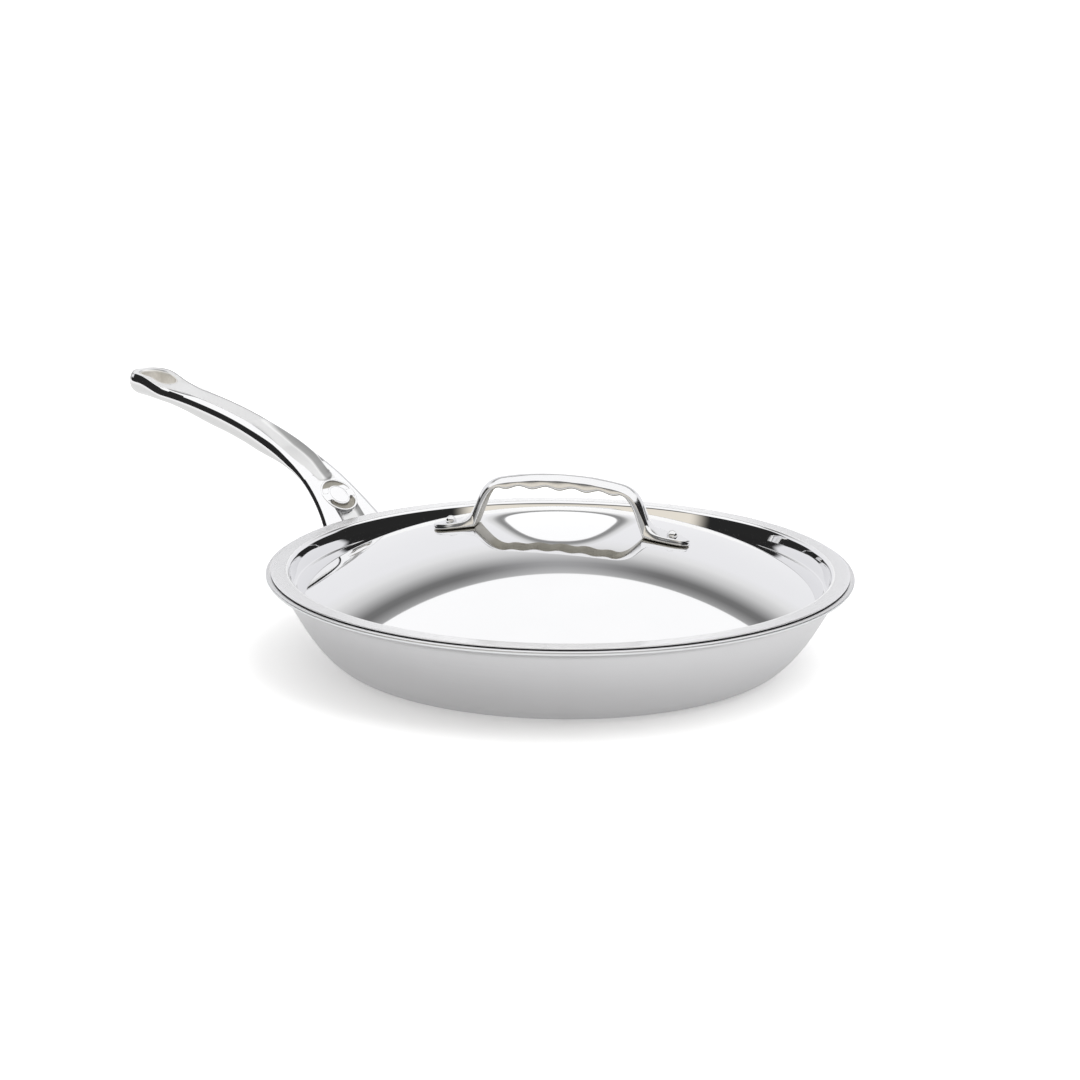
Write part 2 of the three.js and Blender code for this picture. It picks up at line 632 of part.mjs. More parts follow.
// Half of the outline, from the top of the grip round the foot to the underside of the grip
function bowHalf() {
  const legFoot = onDome(BOW_REACH, 0);
  const legUp = new THREE.Vector2(legTopReach, bowLow).sub(legFoot).normalize();
  const outerFoot = legFoot.clone().addScaledVector(leftOf(legUp), -LEG_THICKNESS);

  const shoulderStart = legTopReach + LEG_THICKNESS - SHOULDER_ROUND;
  const crownEnd = new THREE.Vector2(shoulderStart, bowTop - arcDrop(shoulderStart, BOW_CROWN));
  const crown = new THREE.EllipseCurve(
    0, bowTop - BOW_CROWN, BOW_CROWN, BOW_CROWN,
    Math.PI / 2, Math.acos(shoulderStart / BOW_CROWN), true,
  );
  const shoulder = meet(crownEnd, arcAlong(shoulderStart, BOW_CROWN), outerFoot, legUp);
  const legTop = shoulder.clone().addScaledVector(legUp, -SHOULDER_ROUND);

  const footTop = onDome(legOutside, footLift);
  const filletCorner = meet(footTop, arcAlong(legOutside, domeRadius), outerFoot, legUp);
  const filletTop = filletCorner.clone().addScaledVector(legUp, BOW_FILLET);
  const filletEnd = onDome(filletCorner.x + BOW_FILLET, footLift);
  const tipTop = onDome(bowTip, footLift);
  const tipSunk = onDome(bowTip, -BOW_FOOT_THICKNESS);
  const legSunk = legFoot.clone().addScaledVector(legUp, -BOW_FOOT_THICKNESS);

  const scallopEnd = scallopAt((scallopsBeside + SCALLOP_TAIL) * SCALLOP_PITCH);
  const armpit = meet(scallopEnd, arcAlong(scallopEnd.x, BOW_UNDER_CROWN), legFoot, legUp);
  const armpitEnd = armpit.clone().addScaledVector(legUp, -ARMPIT_ROUND);
  const scallops = [];
  const steps = Math.ceil((scallopsBeside + SCALLOP_TAIL) * SCALLOP_STEPS);
  for (let i = steps - 1; i >= 0; i -= 1) {
    scallops.push(scallopAt((i / steps) * scallopEnd.x));
  }
  return [
    ...chain(
      [crown, BEND_STEPS],
      [new THREE.QuadraticBezierCurve(crownEnd, shoulder, legTop), 2 * BEND_STEPS],
      [new THREE.LineCurve(legTop, filletTop), 1],
      [new THREE.QuadraticBezierCurve(filletTop, filletCorner, filletEnd), BEND_STEPS],
      [new THREE.LineCurve(filletEnd, tipTop), 1],
      [new THREE.LineCurve(tipTop, tipSunk), 1],
      [new THREE.LineCurve(tipSunk, legSunk), 1],
      [new THREE.LineCurve(legSunk, armpitEnd), 1],
      [new THREE.QuadraticBezierCurve(armpitEnd, armpit, scallopEnd), 2 * BEND_STEPS],
    ),
    ...scallops,
  ];
}

// Top view of the bow handle: a straight grip, legs that spread and a tongue at each end
function bowPlan() {
  const grip = BOW_WIDTH / 2;
  const foot = BOW_FOOT_WIDTH / 2;
  const quarter = [new THREE.Vector2(0, grip), new THREE.Vector2(legTopReach, grip)];
  const broad = new THREE.Vector2(legOutside, foot);
  const tip = new THREE.Vector2(bowTip, 0);
  const tongue = new THREE.CubicBezierCurve(
    broad,
    new THREE.Vector2(legOutside + TONGUE_FULL * BOW_FOOT_LENGTH, foot),
    new THREE.Vector2(bowTip, TONGUE_BLUNT * foot),
    tip,
  );
  return [...quarter, ...tongue.getPoints(TIP_STEPS)];
}

const upsideDown = (p) => new THREE.Vector2(p.x, -p.y);

function bowHandle() {
  const half = bowHalf();
  const side = new THREE.Shape([...half, ...half.slice(1, -1).reverse().map(mirrored)]);
  const quarter = bowPlan();
  const front = [...quarter, ...quarter.slice(0, -1).reverse().map(upsideDown)];
  const plan = new THREE.Shape([...front, ...front.slice(1, -1).reverse().map(mirrored)]);
  const across = solidOf(slab(side, BOW_FOOT_WIDTH + CUT_MARGIN).rotateX(Math.PI / 2));
  const upright = solidOf(slab(plan, 2 * (bowTop + CUT_MARGIN)));
  const clear = offset(lidProfile, SEAT_GAP);
  const under = revolve([
    new THREE.Vector2(0, gutterTop - CUT_MARGIN),
    new THREE.Vector2(domeFoot.x, gutterTop - CUT_MARGIN),
    ...clear.slice(0, DOME_STEPS + 1).reverse(),
  ]);
  return across.intersect(upright).subtract(under);
}

// Rivets of the bow handle, square to the dome

const lidRivetReach = legOutside + LID_RIVET_AT;
const lidRivetSag = facetSag(lidRivetReach) + LID_RIVET_HEAD ** 2 / (2 * domeRadius);
const lidRivetInset = LID_SHEET + SEAT_GAP + lidRivetSag;
const lidRivetGrip = lidRivetInset + footLift + SEAT_GAP;

function lidRivetFrame(side) {
  const lean = side * Math.asin(lidRivetReach / domeRadius);
  const up = new THREE.Matrix4().makeTranslation(0, 0, domeRadius - lidRivetInset);
  const centre = new THREE.Matrix4().makeTranslation(0, 0, domeTop - domeRadius);
  return centre.multiply(new THREE.Matrix4().makeRotationY(lean)).multiply(up);
}

const lidRivets = Object.fromEntries(Object.entries(SIDES).map(([name, side]) => {
  const geometry = rivet(LID_RIVET_SHANK, LID_RIVET_HEAD, LID_RIVET_DOME, lidRivetGrip);
  return [name, solidOf(geometry.applyMatrix4(lidRivetFrame(side)))];
}));
const lidRivetHoles = Object.values(SIDES)
  .map((side) => solidOf(rivetHole(LID_RIVET_SHANK).applyMatrix4(lidRivetFrame(side))))
  .reduce((holes, hole) => holes.add(hole));

const lidShell = revolve(band(lidProfile, -LID_SHEET, 0)).subtract(lidRivetHoles);
const lidBow = bowHandle().subtract(lidRivetHoles);

// Materials and assembly

const metal = (color, roughness) => new THREE.MeshStandardMaterial({ color, roughness, metalness: 1 });

const pan = new THREE.Group();
pan.add(meshOf('pan_outer_skin', outerSkin, metal(0xbdbdbf, 0.35)));
pan.add(meshOf('pan_core', core, metal(0xd6d8da, 0.5)));
pan.add(meshOf('pan_inner_skin', innerSkin, metal(0xc4c4c6, 0.3)));
pan.add(meshOf('pan_handle', longHandle, metal(0xd2d3d6, 0.2)));
for (const [name, solid] of Object.entries(panRivets)) {
  pan.add(meshOf(`pan_rivet_${name}`, solid, metal(0xc9cacd, 0.25)));
}

const lid = new THREE.Group();
lid.rotation.z = THREE.MathUtils.degToRad(LID_TURN);
lid.add(meshOf('lid_shell', lidShell, metal(0xdcdde0, 0.08)));
lid.add(meshOf('lid_handle', lidBow, metal(0xd4d5d8, 0.12)));
for (const [name, solid] of Object.entries(lidRivets)) {
  lid.add(meshOf(`lid_rivet_${name}`, solid, metal(0xcfd0d3, 0.15)));
}

const fryingPan = new THREE.Group();
fryingPan.add(pan, lid);

export default fryingPan;
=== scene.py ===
"""Looks of a clad steel frying pan with a drop-in lid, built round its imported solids.

Shapes are worked out in millimetres and become metres when a mesh is made.
"""
import math

import bmesh
import bpy
import numpy as np
from mathutils import Matrix, Vector


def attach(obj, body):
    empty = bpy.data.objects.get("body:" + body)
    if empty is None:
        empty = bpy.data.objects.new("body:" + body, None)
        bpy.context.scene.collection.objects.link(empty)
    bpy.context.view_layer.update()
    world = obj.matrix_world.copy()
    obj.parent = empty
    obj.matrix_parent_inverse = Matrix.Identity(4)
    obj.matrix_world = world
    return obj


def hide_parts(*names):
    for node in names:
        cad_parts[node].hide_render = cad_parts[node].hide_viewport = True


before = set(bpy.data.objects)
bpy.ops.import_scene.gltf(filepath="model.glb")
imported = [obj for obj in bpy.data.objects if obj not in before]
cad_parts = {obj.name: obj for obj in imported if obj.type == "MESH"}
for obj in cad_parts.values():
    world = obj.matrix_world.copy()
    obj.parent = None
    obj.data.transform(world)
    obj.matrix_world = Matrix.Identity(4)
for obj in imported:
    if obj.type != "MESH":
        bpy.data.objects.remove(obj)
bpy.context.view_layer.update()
MM = 0.001

# Pan: a clad bowl of three layers with a pouring lip
BASE_RADIUS = 104
CORNER_REACH = 14
WALL_LEAN = 19
WALL_HEIGHT = 38
LIP_REACH = 8
LIP_RISE = 4
OUTER_SKIN = 0.5
CORE = 1.3
INNER_SKIN = 0.5
BOND = 0.05

# Lid: one sheet pressed into a flange, a recess and a dome
LID_SHEET = 0.8
LID_SEAT_GAP = 0.3
LID_PLAY = 1.4
FLANGE_INSET = 2.3
FLANGE_WIDTH = 9
FLANGE_BEND = 1.5
RECESS_DEPTH = 9
GUTTER_WIDTH = 2.5
DOME_RISE = 22
LID_TURN = 31  # degrees

# Long handle
SEAT_GAP = 0.3
FOOT_THICKNESS = 4.5
FOOT_WIDTH = 44
FOOT_BOTTOM = 8
FOOT_TOP = 37
FOOT_ROUND = 0.45  # 0 is a square outline, 1 an oval one
FOOT_EDGE = 2.2  # radius of the plate's edge
NECK_ROOT = 28
NECK_ROOT_THICKNESS = 3
NECK_CLEARANCE = 3.4
NECK_SLOPE = 48  # degrees
NECK_PULL = 43
NECK_WIDTH = 39.5
NECK_THICKNESS = 5
NECK_LENGTH = 28
HANDLE_REACH = 175
HANDLE_RISE = 50.6
TIP_PULL = 93
TIP_LIFT = 3.7
TIP_LIFT_FROM = 34
TIP_LIFT_TO = 14
TIP_WIDTH = 24
TIP_THICKNESS = 9
TIP_THIN_FROM = 75
TIP_THIN_TO = 32
WAIST_AT = 108
WAIST_WIDTH = 18.5
WAIST_THICKNESS = 13
THICK_FROM = 80  # the full thickness is reached here
STRIP_WIDTH = 11.8  # brushed strip along the top
STRIP_SINK = 0.25
STRIP_WALL = 0.3
TIP_BEVEL = 1.8
EDGE_ACROSS = 3  # rounded edge of the top face, sideways
EDGE_DROP = 0.145  # of the thickness, from the top down to the sides
TIP_EDGE_DROP = 0.05
EDGE_BULGE = 0.08  # of the edge, from side to side
SHOULDER_TILT = math.radians(9)  # how far the top face falls towards its edges
SHOULDER_TILT_FROM = 35
SHOULDER_TILT_TO = 50
SIDE_HEIGHT = 3.2  # from the edge down to where the handle is widest
TIP_SIDE_HEIGHT = 3.8
SIDE_SHARE = 0.42  # the most of the thickness that the sides take
SIDE_LEAN = (math.radians(8), math.radians(27))  # how far the sides lean in, at the bottom and the top
EYE_LENGTH = 23
EYE_WIDTH = 12.5
EYE_WALL = 6.6
EYE_LIP = 1.6  # radius of the eye's rounded rim
EYE_FLARE = math.radians(80)  # how far round that radius goes
GROOVE_NEAR = 27.5
GROOVE_FAR = 92
GROOVE_RUNOUT = 30
GROOVE_DEPTH = 3
GROOVE_LIP = 0.2  # the groove's wall starts this far outside its line
GROOVE_FALL = 4  # and reaches the floor this far inside it
GROOVE_SHADE = 0.16  # how much painted shade darkens its floor where it is full depth
WALL_TILT = (0.12, 0.5)  # sideways tilt over which the painted shade on its wall gets as dark as it can
GROOVE_SWELL = 2  # how much wider it gets on either side
GROOVE_SWELL_RISE = 16
GROOVE_SWELL_FALL = 40
UNDER_FULLNESS = 2.6  # of the underside's round, 2 for an ellipse
TIP_SPREAD_FROM = 20  # before the eye, where the brushed strip starts to widen
NECK_HOLLOW_HALF = 8
NECK_HOLLOW_START = 8
NECK_HOLLOW_DEPTH = 2
NECK_HOLLOW_FADE = 4
MEDALLION_AT = 16.6
MEDALLION_RADIUS = 6.3
MEDALLION_CROWN = 0.25
MEDALLION_RIM = 1.1
MEDALLION_LINE = 0.3
POCKET_RADIUS = 9.4
POCKET_DEPTH = 1.3
BRIDGE_WIDTH = 4.4  # the two bridges that part the sunk ring
BRIDGE_FALL = 0.7
BOSS_RADIUS = 10.6
BOSS_PROUD = 0.3
BOSS_ROOT = 3.5
BOSS_EDGE = 0.45

# Rivets of the long handle
PAN_RIVET_HEIGHT = 18
PAN_RIVET_SPACING = 26
PAN_RIVET_SHANK = 3.2
PAN_RIVET_HEAD = 6
PAN_RIVET_DOME = 2

# Bow handle of the lid
BOW_CLEARANCE = 17.8
BOW_THICKNESS = 7.2
BOW_CROWN = 150
BOW_UNDER_CROWN = 420
BOW_WIDTH = 12
BOW_REACH = 42.2
LEG_LEAN = 8
LEG_THICKNESS = 4.7
SHOULDER_ROUND = 9
ARMPIT_ROUND = 10
SCALLOP_PITCH = 13.4
SCALLOP_DEPTH = 1.5
SCALLOPS_BESIDE = 2.25
BOW_FOOT_LENGTH = 17.5
BOW_FOOT_WIDTH = 15
TONGUE_FULL = 2 / 3
TONGUE_BLUNT = 1 / 2
BOW_FOOT_THICKNESS = 2.8
BOW_FILLET = 6.5
BOW_EDGE = 0.8  # radius of its long edges
BOW_EDGE_SHARE = 0.45  # the most of a side that an edge's round takes
BOW_RISE = 2.5  # of the crowned top over its edges
BOW_LEAN = (math.radians(12), math.radians(21.5))  # how far its sides lean in, at the bottom and the top
LID_RIVET_AT = 8.2
LID_RIVET_SHANK = 1.5
LID_RIVET_HEAD = 2.7
LID_RIVET_DOME = 2.8

# Fineness of the meshes
ROUND_STEPS = 288
CURVE_STEPS = 48
BEND_STEPS = 12
EDGE_STEPS = 6
UNDER_STEPS = 16
TIP_STEPS = 40
RIVET_STEPS = 40
LINE_STEPS = 600
WELD = 1e-6  # metres
SMOOTH_ANGLE = math.radians(38)
SECTION_STEP = 1  # between sections of the long handle
CLOSE_STEP = 0.5  # and where they lie closer

# Finishes: noise scales are per metre
TURNED_LINES = 2600
TURNED_BANDS = 300
TURNED_PATCHES = 14
TURNED_ANISOTROPY = 0.55
TURNED_BUMP = 0.05
FINE_SHARE = 0.6  # of fine lines in a colour, where patches are the rest
LINE_SHARE = 0.7  # of fine lines in a roughness, where bands are the rest
SCRATCH_SHARE = 0.4  # of scratches in a film, where smears are the rest
LINE_RANGE = (0.25, 0.75)  # where most of the lines' noise lies
SMEAR_RANGE = (0.3, 0.7)
LINE_DEPTH = 0.0002  # metres
SMEAR_DEPTH = 0.001
SMEARS = 28
SCRATCHES = (900, 90, 400)
POLISH_SPREAD = 0.25  # of a polished roughness, either way
BRUSHED_ALONG = 2400
BRUSHED_ACROSS = 60
BRUSHED_BUMP = 0.06
HANDLE_PATCHES = 30
CAST_GRAIN = 900
BRUSHED_GREY = (0.92, 0.98)
GROOVE_WALL_SHADE = 0.36  # painted shade grey of the steepest part of the groove's wall
# painted shade greys of the handle's downward faces
UNDER_SHADE_GREY = (0.66, 0.72)
# painted shade colours of the sunk ring round the medallion, darker and warmer than its steel
POCKET_SHADE_COLOUR = ((0.36, 0.34, 0.3), (0.5, 0.48, 0.43))
EYE_COLOUR = ((0.84, 0.82, 0.78), (0.96, 0.94, 0.9))
BRUSHED_ROUGHNESS = (0.3, 0.46)
EDGE_ROUGHNESS = (0.05, 0.09)
CAST_ROUGHNESS = 0.55
UNDER_FADE = 0.5  # downward tilt at which the bow is as dull as it gets, and its painted shade as dark

# Camera
VIEW_AZIMUTH = math.radians(43.5)
VIEW_ELEVATION = math.radians(15.06)
VIEW_ROLL = math.radians(0.67)
VIEW_DISTANCE = 1.7126
VIEW_TARGET = Vector((0, 0, 0.0455))
LENS = 115.68
SENSOR = 36
SHIFT = (-0.0189, 0.0247)


# Lines in a plane

def ease(t):
    """From 0 to 1 without a kink at either end."""
    t = np.clip(t, 0, 1)
    return t * t * (3 - 2 * t)


def unit(v):
    return v / np.linalg.norm(v)


def left_of(v):
    return np.stack([-v[..., 1], v[..., 0]], -1)


def bezier(controls, steps):
    """Points along a Bezier curve of any degree."""
    t = np.linspace(0, 1, steps + 1)[:, None]
    layer = [np.array([c], float) for c in controls]
    while len(layer) > 1:
        layer = [a + (b - a) * t for a, b in zip(layer, layer[1:])]
    return layer[0]


def arc(centre, radii, start, end, steps):
    angle = np.linspace(start, end, steps + 1)
    return np.stack([centre[0] + radii[0] * np.cos(angle), centre[1] + radii[1] * np.sin(angle)], 1)


def join(*runs):
    """Runs of points end to end, each starting where the last one stopped."""
    return np.concatenate([runs[0]] + [run[1:] for run in runs[1:]])


def meet(p, along, q, across):
    """Where two lines meet, each given by a point and a direction."""
    reach = np.cross(q - p, across) / np.cross(along, across)
    return p + along * reach


def offset(points, distance):
    """A smooth line moved to its left."""
    along = np.gradient(points, axis=0)
    along /= np.linalg.norm(along, axis=1, keepdims=True)
    return points + left_of(along) * distance


# Meshes

def lathe(profile, steps=ROUND_STEPS):
    """A closed skin turned round +Z from a profile that starts and ends on the axis."""
    angle = np.arange(steps) * 2 * math.pi / steps
    inner = profile[1:-1]
    rings = np.stack([
        inner[:, :1] * np.cos(angle),
        inner[:, :1] * np.sin(angle),
        np.repeat(inner[:, 1:], steps, axis=1),
    ], -1).reshape(-1, 3)
    points = np.concatenate([[[0, 0, profile[0, 1]]], rings, [[0, 0, profile[-1, 1]]]])
    faces = []
    last = len(points) - 1
    for j in range(steps):
        k = (j + 1) % steps
        faces.append((0, 1 + k, 1 + j))
        faces.append((last, last - steps + j, last - steps + k))
        for i in range(len(inner) - 1):
            a = 1 + i * steps
            faces.append((a + j, a + k, a + steps + k, a + steps + j))
    return points, faces


def loft(rings):
    """A skin over closed rings of points, with a flat face at each end."""
    size = len(rings[0])
    last = (len(rings) - 1) * size
    faces = [tuple(range(size))[::-1], tuple(range(last, last + size))]
    for i in range(0, last, size):
        for j in range(size):
            k = (j + 1) % size
            faces.append((i + j, i + k, i + size + k, i + size + j))
    return np.concatenate(rings), faces


def mesh_of(name, points, faces):
    """A welded mesh in metres, facing out."""
    mesh = bpy.data.meshes.new(name)
    mesh.from_pydata((np.asarray(points) * MM).tolist(), [], faces)
    work = bmesh.new()
    work.from_mesh(mesh)
    bmesh.ops.remove_doubles(work, verts=work.verts, dist=WELD)
    bmesh.ops.recalc_face_normals(work, faces=work.faces)
    work.to_mesh(mesh)
    work.free()
    return mesh


def smooth(mesh):
    mesh.polygons.foreach_set("use_smooth", [True] * len(mesh.polygons))
    mesh.set_sharp_from_angle(angle=SMOOTH_ANGLE)


def placed(points, matrix):
    turn = np.array(matrix.to_3x3())
    return points @ turn.T + np.array(matrix.translation)


def piece(name, mesh, material, body):
    """A finished piece that stands for the CAD node it is named after."""
    smooth(mesh)
    mesh.materials.append(material)
    made = bpy.data.objects.new(name + "_fine", mesh)
    bpy.context.scene.collection.objects.link(made)
    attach(made, body)
    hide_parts(name)
    return made


def mark_dull(mesh, where):
    """Says at which points the mesh has a duller finish, and, where its material has a shade colour, painted
    shade.
    """
    mesh.attributes.new("dull", "FLOAT", "POINT").data.foreach_set("value", where)


def combined(mesh, other, operation):
    """The mesh joined with another one, or cut by it."""
    target = bpy.data.objects.new("target", mesh)
    tool = bpy.data.objects.new("tool", other)
    for temporary in (target, tool):
        bpy.context.scene.collection.objects.link(temporary)
    modifier = target.modifiers.new("combine", "BOOLEAN")
    modifier.operation = operation
    modifier.solver = "EXACT"
    modifier.object = tool
    bpy.context.view_layer.update()
    graph = bpy.context.evaluated_depsgraph_get()
    result = bpy.data.meshes.new_from_object(target.evaluated_get(graph))
    result.name = mesh.name
    for temporary in (target, tool):
        bpy.data.objects.remove(temporary)
    return result


# Shader nodes

class Graph:
    """Short calls that lay out shader nodes. A value is a number or another node's output."""

    def __init__(self, tree):
        self.tree = tree

    def node(self, kind, **settings):
        made = self.tree.nodes.new(kind)
        for name, value in settings.items():
            setattr(made, name, value)
        return made

    def put(self, socket, value):
        if isinstance(value, bpy.types.NodeSocket):
            self.tree.links.new(value, socket)
        else:
            socket.default_value = value

    def math(self, operation, *values):
        made = self.node("ShaderNodeMath", operation=operation)
        for socket, value in zip(made.inputs, values):
            self.put(socket, value)
        return made.outputs[0]

    def blend(self, a, b, share):
        """A share of the first value and the rest of the second."""
        return self.math("MULTIPLY_ADD", a, share, self.math("MULTIPLY", b, 1 - share))

    def attribute(self, name):
        return self.node("ShaderNodeAttribute", attribute_name=name).outputs["Fac"]

    def dot(self, a, b):
        made = self.node("ShaderNodeVectorMath", operation="DOT_PRODUCT")
        self.put(made.inputs[0], a)
        self.put(made.inputs[1], b)
        return made.outputs["Value"]

    def split(self, vector):
        made = self.node("ShaderNodeSeparateXYZ")
        self.put(made.inputs[0], vector)
        return made.outputs

    def vector(self, *values):
        made = self.node("ShaderNodeCombineXYZ")
        for socket, value in zip(made.inputs, values):
            self.put(socket, value)
        return made.outputs[0]

    def noise(self, vector, scale, detail=2.0):
        made = self.node("ShaderNodeTexNoise")
        self.put(made.inputs["Vector"], vector)
        made.inputs["Scale"].default_value = scale
        made.inputs["Detail"].default_value = detail
        return made.outputs["Fac"]

    def remap(self, value, source, target, kind="LINEAR"):
        made = self.node("ShaderNodeMapRange", interpolation_type=kind)
        for socket, number in zip(made.inputs, (value, *source, *target)):
            self.put(socket, number)
        return made.outputs[0]

    def ramp(self, value, stops):
        made = self.node("ShaderNodeValToRGB")
        elements = made.color_ramp.elements
        while len(elements) < len(stops):
            elements.new(0.5)
        for element, (place, colour) in zip(elements, stops):
            element.position = place
            element.color = (*colour, 1)
        self.put(made.inputs[0], value)
        return made.outputs[0]

    def mix(self, share, a, b):
        made = self.node("ShaderNodeMix", data_type="RGBA")
        self.put(made.inputs[0], share)
        for socket, value in zip((made.inputs[6], made.inputs[7]), (a, b)):
            self.put(socket, value if isinstance(value, bpy.types.NodeSocket) else (*value, 1))
        return made.outputs[2]

    def bump(self, height, strength, distance):
        made = self.node("ShaderNodeBump")
        made.inputs["Strength"].default_value = strength
        made.inputs["Distance"].default_value = distance
        self.put(made.inputs["Height"], height)
        return made.outputs[0]


def grey(value):
    return (value, value, value)


def metal(name):
    """A metal's material, its nodes and its shader."""
    material = bpy.data.materials.new(name)
    material.use_nodes = True
    shader = material.node_tree.nodes["Principled BSDF"]
    shader.inputs["Metallic"].default_value = 1
    return material, Graph(material.node_tree), shader


def shades(graph, colour, share, spread):
    """A metal's colour, wandering a little between darker and lighter patches."""
    dark = tuple(c * (1 - spread) for c in colour)
    light = tuple(min(c * (1 + spread), 1) for c in colour)
    return graph.mix(share, dark, light)


def turned_steel(name, colour, roughness, spread):
    """Satin steel with fine lines turned round the pan's axis."""
    material, graph, shader = metal(name)
    place = graph.node("ShaderNodeTexCoord").outputs["Object"]
    x, y, z = graph.split(place)
    radius = graph.math("SQRT", graph.math("ADD", graph.math("MULTIPLY", x, x), graph.math("MULTIPLY", y, y)))
    along = graph.math("ADD", radius, z)
    round_x = graph.math("DIVIDE", x, radius)
    round_y = graph.math("DIVIDE", y, radius)
    fine = graph.noise(graph.vector(graph.math("MULTIPLY", along, TURNED_LINES), round_x, round_y), 1, 3)
    broad = graph.noise(graph.vector(graph.math("MULTIPLY", along, TURNED_BANDS), round_x, round_y), 1)
    patch = graph.noise(place, TURNED_PATCHES, 3)
    graph.put(shader.inputs["Base Color"], shades(graph, colour, graph.blend(fine, patch, FINE_SHARE), 0.05))
    lines = graph.blend(fine, broad, LINE_SHARE)
    rough = graph.remap(lines, LINE_RANGE, (roughness - spread, roughness + spread))
    graph.put(shader.inputs["Roughness"], rough)
    graph.put(shader.inputs["Normal"], graph.bump(fine, TURNED_BUMP, LINE_DEPTH))
    shader.inputs["Anisotropic"].default_value = TURNED_ANISOTROPY
    tangent = graph.node("ShaderNodeTangent", direction_type="RADIAL", axis="Z")
    graph.put(shader.inputs["Tangent"], tangent.outputs[0])
    return material


def polished_steel(name, colour, roughness, wave, dull=None, under_shade_colour=None):
    """Polished steel with smears and the waviness of pressed metal, and a duller finish where asked, with a
    painted shade colour there when one is given.
    """
    material, graph, shader = metal(name)
    place = graph.node("ShaderNodeTexCoord").outputs["Object"]
    smear = graph.noise(place, SMEARS, 4)
    scratch = graph.noise(graph.vector(*[
        graph.math("MULTIPLY", value, scale) for value, scale in zip(graph.split(place), SCRATCHES)
    ]), 1)
    clean = shades(graph, colour, smear, 0.02)
    graph.put(shader.inputs["Base Color"], clean)
    film = graph.blend(scratch, smear, SCRATCH_SHARE)
    range_of_polish = (roughness * (1 - POLISH_SPREAD), roughness * (1 + POLISH_SPREAD))
    polish = graph.remap(film, SMEAR_RANGE, range_of_polish)
    if dull:
        where = graph.attribute("dull")
        rougher = graph.math("MULTIPLY", where, graph.remap(scratch, SMEAR_RANGE, dull))
        polish = graph.math("ADD", polish, rougher)
        if under_shade_colour:
            # painted shade: the colour goes darker where the mesh is marked dull
            graph.put(shader.inputs["Base Color"], graph.mix(where, clean, under_shade_colour))
    graph.put(shader.inputs["Roughness"], polish)
    graph.put(shader.inputs["Normal"], graph.bump(smear, wave, SMEAR_DEPTH))
    return material


def handle_steel(name, colour):
    """Cast steel with polished edges, and other finishes and painted shade where the mesh says so."""
    material, graph, shader = metal(name)
    place = graph.node("ShaderNodeTexCoord").outputs["Object"]
    x, y, z = graph.split(place)
    along = graph.math("MULTIPLY", graph.math("SUBTRACT", z, x), BRUSHED_ALONG)
    brushed = graph.noise(graph.vector(along, graph.math("MULTIPLY", y, BRUSHED_ACROSS), 0.0), 1, 3)
    patch = graph.noise(place, HANDLE_PATCHES, 3)
    satin, groove, cast_and_shade, eye, under = [
        graph.attribute(finish) for finish in ("satin", "groove", "cast_and_shade", "eye", "under")
    ]
    share = graph.blend(brushed, patch, FINE_SHARE)
    polished = shades(graph, colour, share, 0.04)
    floor_grey, under_shade = [graph.mix(share, *map(grey, pair)) for pair in (BRUSHED_GREY, UNDER_SHADE_GREY)]
    # painted shade: in the groove the brushed grey darkens towards a shade grey by depth and wall tilt
    bright = graph.mix(satin, polished, graph.mix(groove, floor_grey, grey(GROOVE_WALL_SHADE)))
    # painted shade: downward faces take a darker grey
    bright = graph.mix(under, bright, under_shade)
    grain = graph.noise(place, CAST_GRAIN)
    pocket_shade, blasted = [graph.mix(grain, *pair) for pair in (POCKET_SHADE_COLOUR, EYE_COLOUR)]
    # the sunk ring is rough and painted darker as shade; the eye is pale blasted steel
    graph.put(shader.inputs["Base Color"], graph.mix(eye, graph.mix(cast_and_shade, bright, pocket_shade), blasted))
    rough = graph.remap(brushed, LINE_RANGE, BRUSHED_ROUGHNESS)
    fine = graph.remap(patch, SMEAR_RANGE, EDGE_ROUGHNESS)
    finish = graph.math("MULTIPLY_ADD", graph.math("SUBTRACT", rough, fine), satin, fine)
    matt = graph.math("MULTIPLY", graph.math("MAXIMUM", cast_and_shade, eye), CAST_ROUGHNESS)
    graph.put(shader.inputs["Roughness"], graph.math("MAXIMUM", finish, matt))
    lines = graph.math("MULTIPLY", brushed, satin)
    graph.put(shader.inputs["Normal"], graph.bump(lines, BRUSHED_BUMP, LINE_DEPTH))
    return material


outer_steel = turned_steel("outer steel", (0.74, 0.74, 0.75), 0.34, 0.06)
inner_steel = turned_steel("inner steel", (0.77, 0.77, 0.78), 0.28, 0.05)
core_aluminium = turned_steel("core aluminium", (0.84, 0.85, 0.86), 0.4, 0.08)
lid_steel = polished_steel("lid steel", (0.86, 0.86, 0.87), 0.03, 0.004, (0.16, 0.24))
# the bow's colour for its downward faces is painted shade
bow_steel = polished_steel("bow steel", (0.83, 0.83, 0.84), 0.14, 0.02, (0.28, 0.36), (0.42, 0.4, 0.34))
rivet_steel = polished_steel("rivet steel", (0.8, 0.8, 0.81), 0.12, 0.03)
cast_steel = handle_steel("cast steel", (0.87, 0.87, 0.88))


# Pan

